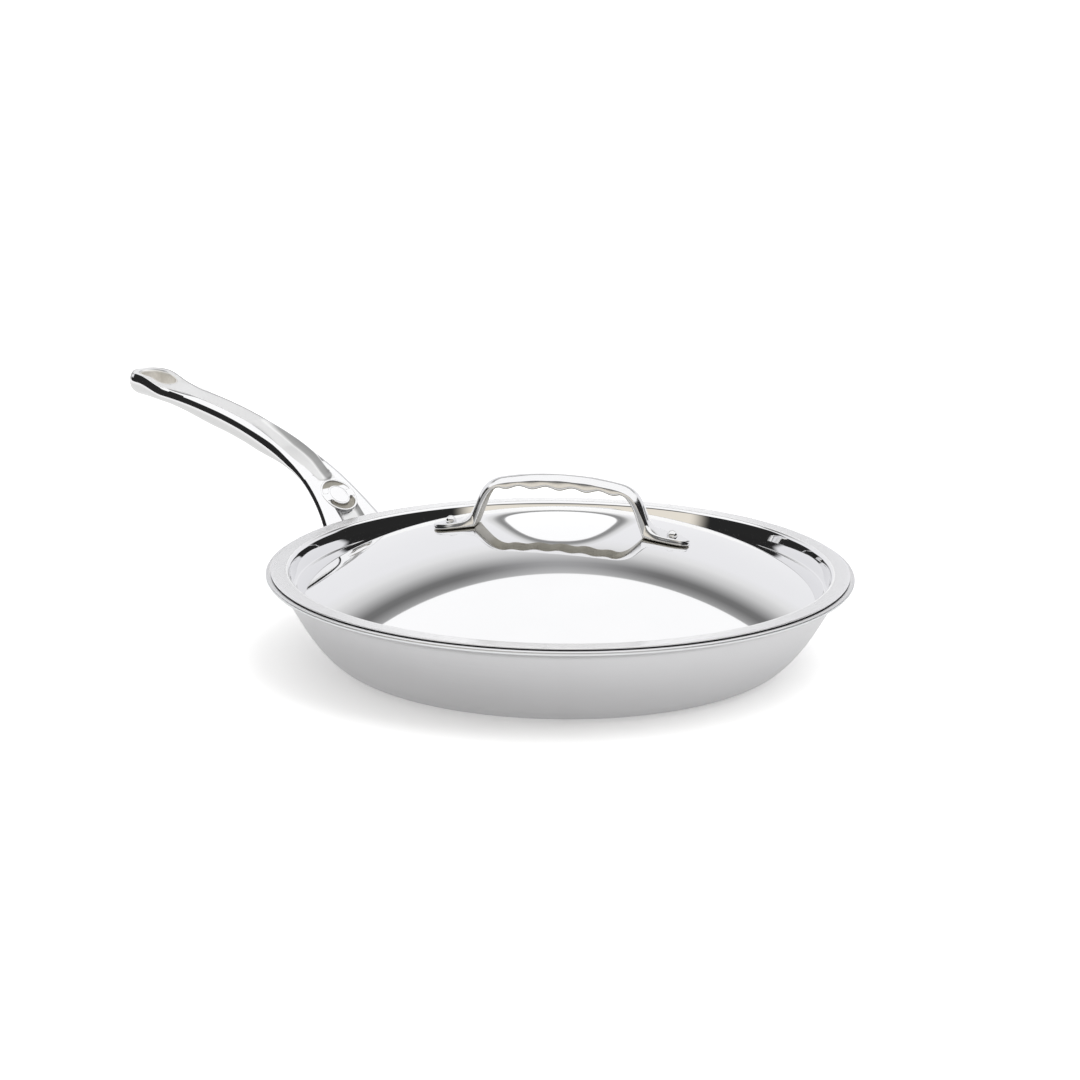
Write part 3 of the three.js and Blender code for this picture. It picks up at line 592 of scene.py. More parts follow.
wall_thickness = OUTER_SKIN + CORE + INNER_SKIN + 2 * BOND
level = np.array([1.0, 0.0])
wall_foot = np.array([BASE_RADIUS + CORNER_REACH, 0.0])
wall_top = np.array([wall_foot[0] + WALL_LEAN, WALL_HEIGHT])
rim_radius = wall_top[0] + LIP_REACH
rim_under = np.array([rim_radius, WALL_HEIGHT + LIP_RISE])
rim_top = rim_under[1] + wall_thickness
base_edge = np.array([BASE_RADIUS, 0.0])
lip_corner = meet(wall_top, wall_top - wall_foot, rim_under, level)
pan_profile = join(
    bezier([(0, 0), base_edge], CURVE_STEPS),
    bezier([base_edge, wall_foot, wall_top], CURVE_STEPS),
    bezier([wall_top, lip_corner, rim_under], 2 * BEND_STEPS),
)


def pan_layer(start, thickness):
    """One layer of the clad wall. The three share one round nose at the rim."""
    half = wall_thickness / 2
    heights = np.linspace(start, start + thickness, EDGE_STEPS + 1)
    reach = rim_radius - half + np.sqrt(np.maximum(half ** 2 - (heights - half) ** 2, 0))
    nose = np.stack([reach, rim_under[1] + heights], 1)
    flat = pan_profile[:, 0] < rim_radius - half - BOND
    under = offset(pan_profile, start)[flat]
    over = offset(pan_profile, start + thickness)[flat]
    under[0, 0] = 0
    over[0, 0] = 0
    return lathe(np.concatenate([under, nose, over[::-1]]))


core_start = OUTER_SKIN + BOND
inner_start = core_start + CORE + BOND
layers = {
    "pan_outer_skin": (0, OUTER_SKIN, outer_steel, "pan_outer_steel"),
    "pan_core": (core_start, CORE, core_aluminium, "core_aluminium"),
    "pan_inner_skin": (inner_start, INNER_SKIN, inner_steel, "pan_inner_steel"),
}
for node, (start, thickness, material, slot) in layers.items():
    piece(node, mesh_of(node, *pan_layer(start, thickness)), material, "pan")


def wall_at(height):
    """The outer wall's point, upward direction and outward normal at a height."""
    t = math.sqrt(height / WALL_HEIGHT)
    point = base_edge * (1 - t) ** 2 + wall_foot * 2 * t * (1 - t) + wall_top * t * t
    along = unit((wall_foot - base_edge) * (1 - t) + (wall_top - wall_foot) * t)
    return point, along, -left_of(along)


# Rivets

def rivet(shank, head, dome, grip):
    """A rivet along +Z: its tail's flat at z = 0 and its head's flat at z = grip."""
    profile = np.concatenate([
        arc((0, 0), (head, dome), -math.pi / 2, 0, BEND_STEPS),
        [(shank, 0), (shank, grip)],
        arc((0, grip), (head, dome), 0, math.pi / 2, BEND_STEPS),
    ])
    profile[0, 0] = 0
    profile[-1, 0] = 0
    return lathe(profile, RIVET_STEPS)


rivet_point, _, rivet_out = wall_at(PAN_RIVET_HEIGHT)
pan_rivet_inset = wall_thickness + SEAT_GAP
pan_rivet_grip = pan_rivet_inset + SEAT_GAP + FOOT_THICKNESS
for side, sign in (("left", -1), ("right", 1)):
    tail = rivet_point - rivet_out * pan_rivet_inset
    axis = Vector((rivet_out[0], 0, rivet_out[1]))
    lean = axis.to_track_quat("Z", "Y").to_matrix().to_4x4()
    turn = Matrix.Rotation(math.pi + sign * math.asin(PAN_RIVET_SPACING / 2 / rivet_point[0]), 4, "Z")
    spot = turn @ Matrix.Translation((tail[0], 0, tail[1])) @ lean
    points, faces = rivet(PAN_RIVET_SHANK, PAN_RIVET_HEAD, PAN_RIVET_DOME, pan_rivet_grip)
    node = "pan_rivet_" + side
    piece(node, mesh_of(node, placed(points, spot), faces), rivet_steel, "pan")


# Long handle: the line of its top face, in distance from the pan's axis and height

root_on_wall, root_along, root_out = wall_at(NECK_ROOT)
root_point = root_on_wall + root_out * SEAT_GAP
slope = math.radians(NECK_SLOPE)
neck_along = np.array([math.cos(slope), math.sin(slope)])
neck_point = np.array([rim_radius + NECK_CLEARANCE, rim_under[1]])
tip_point = neck_point + (HANDLE_REACH, HANDLE_RISE)
root_pull = np.linalg.norm(neck_point - root_point) / 3
root_line = bezier([
    root_point, root_point + root_along * root_pull, neck_point - neck_along * root_pull, neck_point,
], LINE_STEPS)
grip_line = bezier([
    neck_point, neck_point + neck_along * NECK_PULL, tip_point - level * TIP_PULL, tip_point,
], LINE_STEPS)
top_line = join(root_line, grip_line)
steps_along = np.linalg.norm(np.diff(top_line, axis=0), axis=1)
top_distance = np.concatenate([[0], np.cumsum(steps_along)])
root_length = top_distance[LINE_STEPS]
top_distance -= root_length
grip_length = top_distance[-1]
eye_middle = grip_length - EYE_WALL - EYE_LENGTH / 2
top_along = np.gradient(top_line, axis=0)
top_along /= np.linalg.norm(top_along, axis=1, keepdims=True)


def tip_lift(distance):
    """How far the top face stands out of the handle's line."""
    return TIP_LIFT * ease((distance - grip_length + TIP_LIFT_FROM) / (TIP_LIFT_FROM - TIP_LIFT_TO))


top_line = top_line + left_of(top_along) * tip_lift(top_distance)[:, None]


def top_at(distance):
    """The top face's point, direction and upward normal at a distance from the rim."""
    point = np.array([np.interp(distance, top_distance, top_line[:, k]) for k in (0, 1)])
    along = unit(np.array([np.interp(distance, top_distance, top_along[:, k]) for k in (0, 1)]))
    return point, along, left_of(along)


def handle_width(distance):
    if distance < WAIST_AT:
        flare = 1 - max(distance, 0) / WAIST_AT
        return WAIST_WIDTH + (NECK_WIDTH - WAIST_WIDTH) * flare ** 3
    share = (distance - WAIST_AT) / (grip_length - TIP_WIDTH / 2 - WAIST_AT)
    return WAIST_WIDTH + (TIP_WIDTH - WAIST_WIDTH) * ease(share)


def handle_thickness(distance):
    if distance < 0:
        return NECK_THICKNESS + (NECK_ROOT_THICKNESS - NECK_THICKNESS) * -distance / root_length
    if distance < WAIST_AT:
        share = (distance - NECK_LENGTH) / (THICK_FROM - NECK_LENGTH)
        return NECK_THICKNESS + (WAIST_THICKNESS - NECK_THICKNESS) * ease(share)
    share = (distance - grip_length + TIP_THIN_FROM) / (TIP_THIN_FROM - TIP_THIN_TO)
    return WAIST_THICKNESS + (TIP_THICKNESS - WAIST_THICKNESS) * ease(share) + tip_lift(distance)


def tip_share(distance):
    """0 up to the waist, 1 where the eye starts."""
    return ease((distance - WAIST_AT) / (eye_middle - EYE_LENGTH / 2 - WAIST_AT))


def strip_half(distance):
    """Half the width of the brushed strip along the top."""
    half = STRIP_WIDTH / 2
    swell = ease((distance - GROOVE_NEAR - half) / GROOVE_SWELL_RISE)
    swell *= ease((GROOVE_FAR - distance) / GROOVE_SWELL_FALL)
    spread = ease((distance - eye_middle + EYE_LENGTH / 2 + TIP_SPREAD_FROM) / TIP_SPREAD_FROM)
    widest = handle_width(distance) / 2 - TIP_BEVEL
    return half + GROOVE_SWELL * swell + (widest - half) * spread


def hollow_wall(inside):
    """How much of the depth is reached inside a hollow's line: steep at first, then levelling out."""
    share = np.clip((inside + GROOVE_LIP) / (GROOVE_LIP + GROOVE_FALL), 0, 1)
    return 1 - (1 - share) ** 2


def hollow_depth(distance, across):
    """How far the top is sunk: the brushed strip with its groove, and the neck's hollow behind the boss."""
    inside = strip_half(distance) - across
    near_round = STRIP_WIDTH / 2
    near_centre = GROOVE_NEAR + near_round
    if distance < near_centre:
        inside = near_round - np.hypot(across, near_centre - distance)
    runs_out = min(max((GROOVE_FAR - distance) / GROOVE_RUNOUT, 0), 1)
    groove = GROOVE_DEPTH * runs_out * hollow_wall(inside)
    strip = STRIP_SINK * ease(inside / STRIP_WALL)
    starts = ease((distance + NECK_HOLLOW_START) / NECK_HOLLOW_FADE)
    ends = ease((MEDALLION_AT + NECK_HOLLOW_FADE / 2 - distance) / NECK_HOLLOW_FADE)
    neck = NECK_HOLLOW_DEPTH * starts * ends * hollow_wall(NECK_HOLLOW_HALF - across)
    return np.maximum(np.maximum(groove, strip), neck)


def half_section(distance):
    """Half of the handle's section, from the middle of the underside round to the middle of the top."""
    half = handle_width(distance) / 2
    thickness = handle_thickness(distance)
    line = NECK_HOLLOW_HALF if distance < MEDALLION_AT else strip_half(distance)
    share = tip_share(distance)
    drop = thickness * (EDGE_DROP + (TIP_EDGE_DROP - EDGE_DROP) * share)
    side_height = min(SIDE_HEIGHT + (TIP_SIDE_HEIGHT - SIDE_HEIGHT) * share, SIDE_SHARE * thickness)
    widest = np.array([half, -drop - side_height])
    low, high = np.tan(SIDE_LEAN)
    side_corner = widest + np.array([-low, 1]) * side_height / 2
    side_top = side_corner + np.array([-high, 1]) * side_height / 2
    lip = line + GROOVE_LIP
    edge = lip + max((half - EDGE_ACROSS - lip) * (1 - share), BOND)
    fall = SHOULDER_TILT * ease((distance - SHOULDER_TILT_FROM) / (SHOULDER_TILT_TO - SHOULDER_TILT_FROM))
    top_edge = np.array([edge, -math.tan(fall) * (edge - lip)])
    corner = (side_top + top_edge) / 2 - left_of(top_edge - side_top) * EDGE_BULGE
    floor_edge = line - GROOVE_FALL
    across = join(np.linspace(lip, floor_edge, 3 * BEND_STEPS), np.linspace(floor_edge, 0, BEND_STEPS))
    turn = np.linspace(-math.pi / 2, 0, UNDER_STEPS + 1)
    round_x = half * np.abs(np.cos(turn)) ** (2 / UNDER_FULLNESS)
    round_y = (thickness + widest[1]) * np.abs(np.sin(turn)) ** (2 / UNDER_FULLNESS)
    round_x[0] = 0
    return join(
        np.stack([round_x, widest[1] - round_y], 1),
        bezier([widest, side_corner, side_top], EDGE_STEPS),
        bezier([side_top, corner, top_edge], BEND_STEPS),
        bezier([top_edge, (lip, 0)], EDGE_STEPS),
        np.stack([across, -hollow_depth(distance, across)], 1),
    )


def in_handle(distance, forward, across, up):
    """Points given along, across and up from the top line, in the pan's frame."""
    point, along, normal = top_at(distance)
    reach = point[0] + along[0] * forward + normal[0] * up
    height = point[1] + along[1] * forward + normal[1] * up
    return np.stack(np.broadcast_arrays(-reach, across, height), -1)


def handle_body():
    """The handle from its root to its round tip, which is half a turned section."""
    straight = grip_length - TIP_WIDTH / 2
    stops = np.concatenate([
        np.arange(-root_length, -NECK_HOLLOW_START, SECTION_STEP),
        np.arange(-NECK_HOLLOW_START, GROOVE_NEAR + NECK_LENGTH / 2, CLOSE_STEP),
        np.arange(GROOVE_NEAR + NECK_LENGTH / 2, GROOVE_FAR, SECTION_STEP),
        np.linspace(GROOVE_FAR, straight, 2 * CURVE_STEPS),
    ])
    rings = []
    for stop in stops:
        half = half_section(stop)
        mirror = half[-2:0:-1] * (-1, 1)
        ring = np.concatenate([half, mirror])
        rings.append(in_handle(stop, 0, ring[:, 0], ring[:, 1]))
    points, faces = loft(rings)
    faces.pop(1)
    half = half_section(straight)
    count = len(half)
    first = len(points)
    fans = []
    for angle in np.linspace(0, math.pi, TIP_STEPS + 1):
        forward, across = half[:, 0] * math.sin(angle), half[:, 0] * math.cos(angle)
        fans.append(in_handle(straight, forward, across, half[:, 1]))
    for i in range(TIP_STEPS):
        a = first + i * count
        for j in range(count - 1):
            faces.append((a + j, a + j + 1, a + count + j + 1, a + count + j))
    return mesh_of("pan_handle", np.concatenate([points] + fans), faces)


def foot_plate():
    """A plate with a rounded outline and edge that lies on the wall."""
    steps = np.sin(np.linspace(-math.pi / 2, math.pi / 2, CURVE_STEPS + 1))
    u, v = np.meshgrid(steps, steps, indexing="ij")
    across = u + FOOT_ROUND * (u * np.sqrt(1 - v * v / 2) - u)
    upward = v + FOOT_ROUND * (v * np.sqrt(1 - u * u / 2) - v)
    half_height = (FOOT_TOP - FOOT_BOTTOM) / 2
    inside = np.minimum((1 - np.abs(u)) * FOOT_WIDTH / 2, (1 - np.abs(v)) * half_height)
    bulge = np.sqrt(1 - (1 - np.clip(inside / FOOT_EDGE, 0, 1)) ** 2)
    skins = []
    for lift in (SEAT_GAP + 0 * bulge, SEAT_GAP + FOOT_THICKNESS * bulge):
        skin = np.empty(u.shape + (3,))
        for index in np.ndindex(u.shape):
            height = FOOT_BOTTOM + half_height * (1 + upward[index])
            point, _, out = wall_at(height)
            reach = point + out * lift[index]
            angle = math.pi + across[index] * FOOT_WIDTH / 2 / point[0]
            skin[index] = (reach[0] * math.cos(angle), reach[0] * math.sin(angle), reach[1])
        skins.append(skin.reshape(-1, 3))
    size = CURVE_STEPS + 1
    faces = []
    for base in (0, size * size):
        for i in range(CURVE_STEPS):
            for j in range(CURVE_STEPS):
                a = base + i * size + j
                faces.append((a, a + 1, a + size + 1, a + size))
    return mesh_of("foot_plate", np.concatenate(skins), faces)


def medallion_boss():
    """Round seat with a sunk ring round a bare, slightly crowned medallion."""
    floor = BOSS_PROUD - POCKET_DEPTH
    edge = BOSS_EDGE
    quarter = math.pi / 2
    field = MEDALLION_RADIUS - MEDALLION_RIM
    line = MEDALLION_LINE
    peak = BOSS_PROUD + MEDALLION_CROWN
    crown = join(
        bezier([(0, peak), (field / 2, peak), (field, BOSS_PROUD)], BEND_STEPS),
        arc((field + line / 2, BOSS_PROUD), (line / 2, line), 2 * quarter, 4 * quarter, EDGE_STEPS),
    )
    profile = np.concatenate([
        crown,
        arc((MEDALLION_RADIUS - edge, BOSS_PROUD - edge), (edge, edge), quarter, 0, EDGE_STEPS),
        arc((MEDALLION_RADIUS + edge, floor + edge), (edge, edge), 2 * quarter, 3 * quarter, EDGE_STEPS),
        arc((POCKET_RADIUS - edge, floor + edge), (edge, edge), -quarter, 0, EDGE_STEPS),
        arc((POCKET_RADIUS + edge, BOSS_PROUD - edge), (edge, edge), 2 * quarter, quarter, EDGE_STEPS),
        arc((BOSS_RADIUS - edge, BOSS_PROUD - edge), (edge, edge), quarter, 0, EDGE_STEPS),
        [(BOSS_RADIUS, -BOSS_ROOT), (0, -BOSS_ROOT)],
    ])
    points, faces = lathe(profile, 4 * RIVET_STEPS)
    from_axis = np.hypot(points[:, 0], points[:, 1])
    ring = (from_axis > MEDALLION_RADIUS - edge) & (from_axis < POCKET_RADIUS + edge)
    bridge = 1 - ease((np.abs(points[:, 0]) - BRIDGE_WIDTH / 2) / BRIDGE_FALL)
    points[:, 2] += np.where(ring, bridge * (BOSS_PROUD - points[:, 2]), 0)
    return mesh_of("boss", in_handle(MEDALLION_AT, points[:, 0], points[:, 1], points[:, 2]), faces)


def eye_cutter():
    """The eye's slot, flared where it leaves the top and the underside."""
    depth = handle_thickness(eye_middle)
    straight = (EYE_LENGTH - EYE_WIDTH) / 2
    flare = np.linspace(0, EYE_FLARE, BEND_STEPS + 1)
    grow = EYE_LIP * (1 - np.cos(flare))
    drop = EYE_LIP * (1 - np.sin(flare))
    above = [(EYE_LIP, 2 * EYE_LIP), *zip(grow[::-1], -drop[::-1])]
    below = [*zip(grow, drop - depth), (EYE_LIP, -depth - 2 * EYE_LIP)]
    rings = []
    for extra, height in above + below:
        radius = EYE_WIDTH / 2 + extra
        right = arc((straight, 0), (radius, radius), -math.pi / 2, math.pi / 2, 2 * BEND_STEPS)
        outline = np.concatenate([right, -right])
        rings.append(in_handle(eye_middle, outline[:, 0], outline[:, 1], np.full(len(outline), height)))
    return mesh_of("eye", *loft(rings))


def mark_finish_and_shade(mesh):
    """Says where the handle is brushed, where its sunk ring is rough with painted shade, where it is part of
    the eye, where it is an underside with painted shade, and how much painted shade its groove gets.
    """
    count = len(mesh.vertices)
    spots = np.empty(count * 3)
    mesh.vertices.foreach_get("co", spots)
    spots = spots.reshape(-1, 3) / MM
    across = np.abs(spots[:, 1])
    row = np.stack([-spots[:, 0], spots[:, 2]], 1)
    distance = np.interp(row[:, 0], top_line[:, 0], top_distance)
    below = np.interp(row[:, 0], top_line[:, 0], top_line[:, 1]) - row[:, 1]
    point, along, normal = top_at(MEDALLION_AT)
    from_axis = np.hypot((row - point) @ along, across)
    in_hollow = (distance < MEDALLION_AT) & (across < NECK_HOLLOW_HALF)
    in_strip = (distance > GROOVE_NEAR) & (across < np.array([strip_half(d) for d in distance]))
    on_top = (in_strip | in_hollow) & (from_axis > BOSS_RADIUS + BOND) & (below < 2 * GROOVE_DEPTH)
    above = (row - point) @ normal
    # the sunk ring round the medallion: rough, and darkened with painted shade
    sunk = (from_axis > MEDALLION_RADIUS - BOND) & (from_axis < POCKET_RADIUS + BOND)
    sunk &= (above < BOSS_PROUD - BOSS_EDGE) & (above > -POCKET_DEPTH)
    point, along, _ = top_at(eye_middle)
    past = np.maximum(np.abs((row - point) @ along) - (EYE_LENGTH - EYE_WIDTH) / 2, 0)
    in_eye = np.hypot(past, across) < EYE_WIDTH / 2 + EYE_LIP / 3
    normals = np.array([vertex.normal for vertex in mesh.vertices])
    # downward faces, outside the eye, get painted shade
    under = (normals[:, 2] < 0) & ~in_eye
    # painted shade in the groove, darker where it is deep and where its wall tilts sideways
    deep = np.clip((GROOVE_FAR - distance) / GROOVE_RUNOUT, 0, 1) * GROOVE_SHADE
    steep = np.clip((np.abs(normals[:, 1]) - WALL_TILT[0]) / (WALL_TILT[1] - WALL_TILT[0]), 0, 1)
    finishes = {
        "satin": on_top & ~in_eye,
        "groove": np.maximum(deep, steep),
        "cast_and_shade": sunk,
        "eye": in_eye,
        "under": under,
    }
    for name, where in finishes.items():
        mesh.attributes.new(name, "FLOAT", "POINT").data.foreach_set("value", where.astype(float))


handle = combined(handle_body(), foot_plate(), "UNION")
handle = combined(handle, medallion_boss(), "UNION")
handle = combined(handle, eye_cutter(), "DIFFERENCE")
mark_finish_and_shade(handle)
piece("pan_handle", handle, cast_steel, "pan")


# Lid

flange_top = rim_top + LID_SEAT_GAP + LID_SHEET
gutter_top = flange_top - RECESS_DEPTH
dome_top = flange_top + DOME_RISE
flange_edge = np.array([rim_radius - FLANGE_INSET, flange_top])
recess_top = np.array([flange_edge[0] - FLANGE_WIDTH, flange_top])
inside_line = offset(pan_profile, wall_thickness)
climbing = inside_line[:, 0] > BASE_RADIUS
pan_inside = np.interp(gutter_top - LID_SHEET, inside_line[climbing, 1], inside_line[climbing, 0])
recess_foot = np.array([pan_inside - LID_PLAY - LID_SHEET, gutter_top])
dome_foot = recess_foot - level * GUTTER_WIDTH
dome_height = dome_top - gutter_top
dome_radius = (dome_foot[0] ** 2 + dome_height ** 2) / (2 * dome_height)
dome_span = math.asin(dome_foot[0] / dome_radius)
dome_centre = dome_top - dome_radius
recess_up = unit(recess_top - recess_foot)
dome_down = np.array([math.cos(dome_span), -math.sin(dome_span)])
gutter_floor = meet(dome_foot, dome_down, recess_foot, recess_up)
bend_start = recess_top - recess_up * FLANGE_BEND
bend_end = recess_top + level * FLANGE_BEND
sheet_half = LID_SHEET / 2
flange_stop = flange_edge - level * sheet_half
lid_profile = join(
    arc((0, dome_centre), (dome_radius, dome_radius), math.pi / 2, math.pi / 2 - dome_span, 2 * CURVE_STEPS),
    bezier([dome_foot, gutter_floor, recess_foot], BEND_STEPS),
    bezier([recess_foot, bend_start], EDGE_STEPS),
    bezier([bend_start, recess_top, bend_end], BEND_STEPS),
    bezier([bend_end, flange_stop], EDGE_STEPS),
)
lid_turn = Matrix.Rotation(math.radians(LID_TURN), 4, "Z")


def lid_shell():
    nose_centre = flange_stop - (0, sheet_half)
    nose = arc(nose_centre, (sheet_half, sheet_half), math.pi / 2, -math.pi / 2, 2 * EDGE_STEPS)
    under = offset(lid_profile, -LID_SHEET)[::-1]
    profile = np.concatenate([lid_profile, nose[1:-1], under])
    profile[0, 0] = 0
    profile[-1, 0] = 0
    return lathe(profile)


lid = mesh_of("lid_shell", *lid_shell())
flange_inside = recess_top[0] * MM
mark_dull(lid, [ease((vertex.co.xy.length - flange_inside) / (FLANGE_BEND * MM)) for vertex in lid.vertices])
piece("lid_shell", lid, lid_steel, "lid")


# Bow handle, drawn from its middle out to one foot

def on_dome(along, lift):
    """A point over the dome, in the plane of the bow handle."""
    return np.array([along, dome_centre + math.sqrt((dome_radius + lift) ** 2 - along ** 2)])


def arc_drop(along, radius):
    return radius - np.sqrt(radius ** 2 - along ** 2)


def arc_along(along, radius):
    """The direction of a circle about the handle's middle line, going outwards."""
    return unit(np.array([math.sqrt(radius ** 2 - along ** 2), -along]))


def scallop_at(along):
    wave = (1 - np.cos(2 * math.pi * along / SCALLOP_PITCH)) / 2
    return np.stack([along, bow_low - arc_drop(along, BOW_UNDER_CROWN) + SCALLOP_DEPTH * wave], -1)


bow_low = dome_top + BOW_CLEARANCE
bow_top = bow_low + BOW_THICKNESS
foot_lift = SEAT_GAP + BOW_FOOT_THICKNESS
leg_outside = BOW_REACH + LEG_THICKNESS
bow_tip = leg_outside + BOW_FOOT_LENGTH
leg_top_reach = BOW_REACH - LEG_LEAN


def bow_lines():
    """The outer and the inner line of half the bow in side view, point by point across from each other."""
    leg_foot = on_dome(BOW_REACH, SEAT_GAP)
    leg_up = unit(np.array([leg_top_reach, bow_low]) - on_dome(BOW_REACH, 0))
    outer_foot = leg_foot - left_of(leg_up) * LEG_THICKNESS
    shoulder_start = leg_top_reach + LEG_THICKNESS - SHOULDER_ROUND
    crown_end = np.array([shoulder_start, bow_top - arc_drop(shoulder_start, BOW_CROWN)])
    shoulder = meet(crown_end, arc_along(shoulder_start, BOW_CROWN), outer_foot, leg_up)
    leg_top = shoulder - leg_up * SHOULDER_ROUND
    foot_top = on_dome(leg_outside, foot_lift)
    corner = meet(foot_top, arc_along(leg_outside, dome_radius), outer_foot, leg_up)
    fillet_top = corner + leg_up * BOW_FILLET
    fillet_end = on_dome(corner[0] + BOW_FILLET, foot_lift)
    scallop_end = SCALLOPS_BESIDE * SCALLOP_PITCH
    hang = scallop_at(scallop_end)
    armpit = meet(hang, arc_along(scallop_end, BOW_UNDER_CROWN), leg_foot, leg_up)
    armpit_end = armpit - leg_up * ARMPIT_ROUND

    crown = np.linspace(0, shoulder_start, CURVE_STEPS + 1)
    under_foot = np.linspace(BOW_REACH, fillet_end[0], BEND_STEPS + 1)
    to_tip = 1 - np.sin(np.linspace(0, math.pi / 2, CURVE_STEPS + 1))
    along_foot = bow_tip - (bow_tip - fillet_end[0]) * to_tip
    outer = join(
        np.stack([crown, bow_top - arc_drop(crown, BOW_CROWN)], 1),
        bezier([crown_end, shoulder, leg_top], 2 * BEND_STEPS),
        bezier([leg_top, fillet_top], BEND_STEPS),
        bezier([fillet_top, corner, fillet_end], BEND_STEPS),
        np.array([on_dome(u, foot_lift) for u in along_foot]),
    )
    inner = join(
        scallop_at(np.linspace(0, scallop_end, CURVE_STEPS + 1)),
        bezier([hang, armpit, armpit_end], 2 * BEND_STEPS),
        bezier([armpit_end, leg_foot], BEND_STEPS),
        np.array([on_dome(u, SEAT_GAP) for u in under_foot]),
        np.array([on_dome(u, SEAT_GAP) for u in along_foot]),
    )
    crowned = np.ones(len(outer))
    crowned[-len(along_foot):] = 0
    crowned[-len(along_foot) - BEND_STEPS:-len(along_foot)] = 1 - ease(np.linspace(0, 1, BEND_STEPS))
    return outer, inner, crowned


tongue = bezier([
    (leg_outside, BOW_FOOT_WIDTH / 2),
    (leg_outside + TONGUE_FULL * BOW_FOOT_LENGTH, BOW_FOOT_WIDTH / 2),
    (bow_tip, TONGUE_BLUNT * BOW_FOOT_WIDTH / 2),
    (bow_tip, 0),
], LINE_STEPS)
widening = bezier([
    (leg_top_reach, BOW_WIDTH / 2),
    (BOW_REACH, BOW_WIDTH / 2),
    (BOW_REACH, BOW_FOOT_WIDTH / 2),
    (leg_outside, BOW_FOOT_WIDTH / 2),
], LINE_STEPS)
plan = np.concatenate([[(0, BOW_WIDTH / 2)], widening, tongue])


def bow_section(half, thickness, crowned):
    """Across and up values: a flat underside, sides that lean in, and a top that is crowned or flat."""
    edge = min(BOW_EDGE, BOW_EDGE_SHARE * thickness, BOW_EDGE_SHARE * 2 * half)
    low, high = np.tan(BOW_LEAN)
    height = thickness - edge - BOW_RISE * crowned
    inset = min((low + high) / 2 * height, BOW_EDGE_SHARE * half)
    top_half = half - inset
    rise = min(BOW_RISE, top_half)
    bend = (top_half ** 2 + rise ** 2) / (2 * rise)
    across = top_half * np.sin(np.linspace(0, math.pi / 2, BEND_STEPS + 1))
    past = np.clip((across - top_half + edge) / edge, 0, 1)
    drop = crowned * arc_drop(across, bend) + (1 - crowned) * edge * (1 - np.sqrt(1 - past ** 2))
    top = np.stack([across, thickness - drop], 1)[::-1]
    side_low = np.array([half, edge])
    lean = inset * low / (low + high)
    side = bezier([side_low, (half - lean, (edge + top[0, 1]) / 2), top[0]], EDGE_STEPS)
    right = join(arc((half - edge, edge), (edge, edge), -math.pi / 2, 0, EDGE_STEPS), side, top)
    return np.concatenate([right, right[-2::-1] * (-1, 1)])


def bow_handle():
    rings = []
    for top, low, crowned in zip(*bow_lines()):
        half = max(np.interp((top[0] + low[0]) / 2, plan[:, 0], plan[:, 1]), BOND)
        thickness = np.linalg.norm(top - low)
        upward = (top - low) / thickness
        box = bow_section(half, thickness, crowned)
        side = low + box[:, 1:] * upward
        rings.append(np.stack([side[:, 0], box[:, 0], side[:, 1]], 1))
    other = [ring * (-1, 1, 1) for ring in rings[:0:-1]]
    points, faces = loft(other + rings)
    return mesh_of("lid_handle", placed(points, lid_turn), faces)


bow = bow_handle()
# downward faces are duller and get the bow's painted shade colour
mark_dull(bow, [ease(-vertex.normal.z / UNDER_FADE) for vertex in bow.vertices])
piece("lid_handle", bow, bow_steel, "lid")

lid_rivet_reach = leg_outside + LID_RIVET_AT
lid_rivet_inset = LID_SHEET + SEAT_GAP
for side, sign in (("left", -1), ("right", 1)):
    lean = Matrix.Rotation(sign * math.asin(lid_rivet_reach / dome_radius), 4, "Y")
    out = Matrix.Translation((0, 0, dome_radius - lid_rivet_inset))
    spot = lid_turn @ Matrix.Translation((0, 0, dome_centre)) @ lean @ out
    points, faces = rivet(LID_RIVET_SHANK, LID_RIVET_HEAD, LID_RIVET_DOME, lid_rivet_inset + foot_lift)
    node = "lid_rivet_" + side
    piece(node, mesh_of(node, placed(points, spot), faces), rivet_steel, "lid")


# Studio: a white floor under a wide soft light, with a dark room behind the camera

FLOOR_SIZE = 4.0
FLOOR_COLOUR = 0.62
FLOOR_SEEN = 0.95  # its colour to the camera
FLOOR_GLOW = 0.3  # what lifts the open floor to white where it is seen
LIGHT_LEVEL = 1.12  # strength of the overhead light
KEY_STRENGTH = 1.1
KEY_SPREAD = math.radians(55)
KEY_RIGHT = 0.6
KEY_AWAY = -0.1

FAR_LIGHT = (0.82, 0.82, 0.835)  # wall behind the pan
CARD_LIGHT = (0.8, 0.75, 0.66)  # pale wall behind the camera
CARD_AZIMUTH = math.radians(-170)
STRIP_HALF = (0.058, 0.208)  # strip lamp behind the pan, sideways and up
STRIP_HEIGHT = 0.235
STRIP_POWER = 2.4
STRIP_REACH = 1.32  # how far its grey surround goes, in half sizes
CARD_EDGE = (0.5, 0.66)  # cosines over which the pale wall comes in
BESIDE_EDGE = (0.7, 0.88)  # and those of the flanks
BEHIND_EDGE = (0.36, 0.46)  # and of the far half of the room
LOW_START = 0.3  # how much sooner the dark half starts, near the floor
LOW_RANGE = (3, 9)  # degrees over the floor
POLE_MARGIN = 1.001  # keeps the zenith's level length over 0
ARCH_LEAN = 0.05
ARCH_MIDDLE = 0.2  # half width of the arch's paler middle
ARCH_MIDDLE_LIGHT = 0.28
ARCH_EDGE = 42  # degrees, where the overhead light starts
FLOOR_ROUGHNESS = 0.9

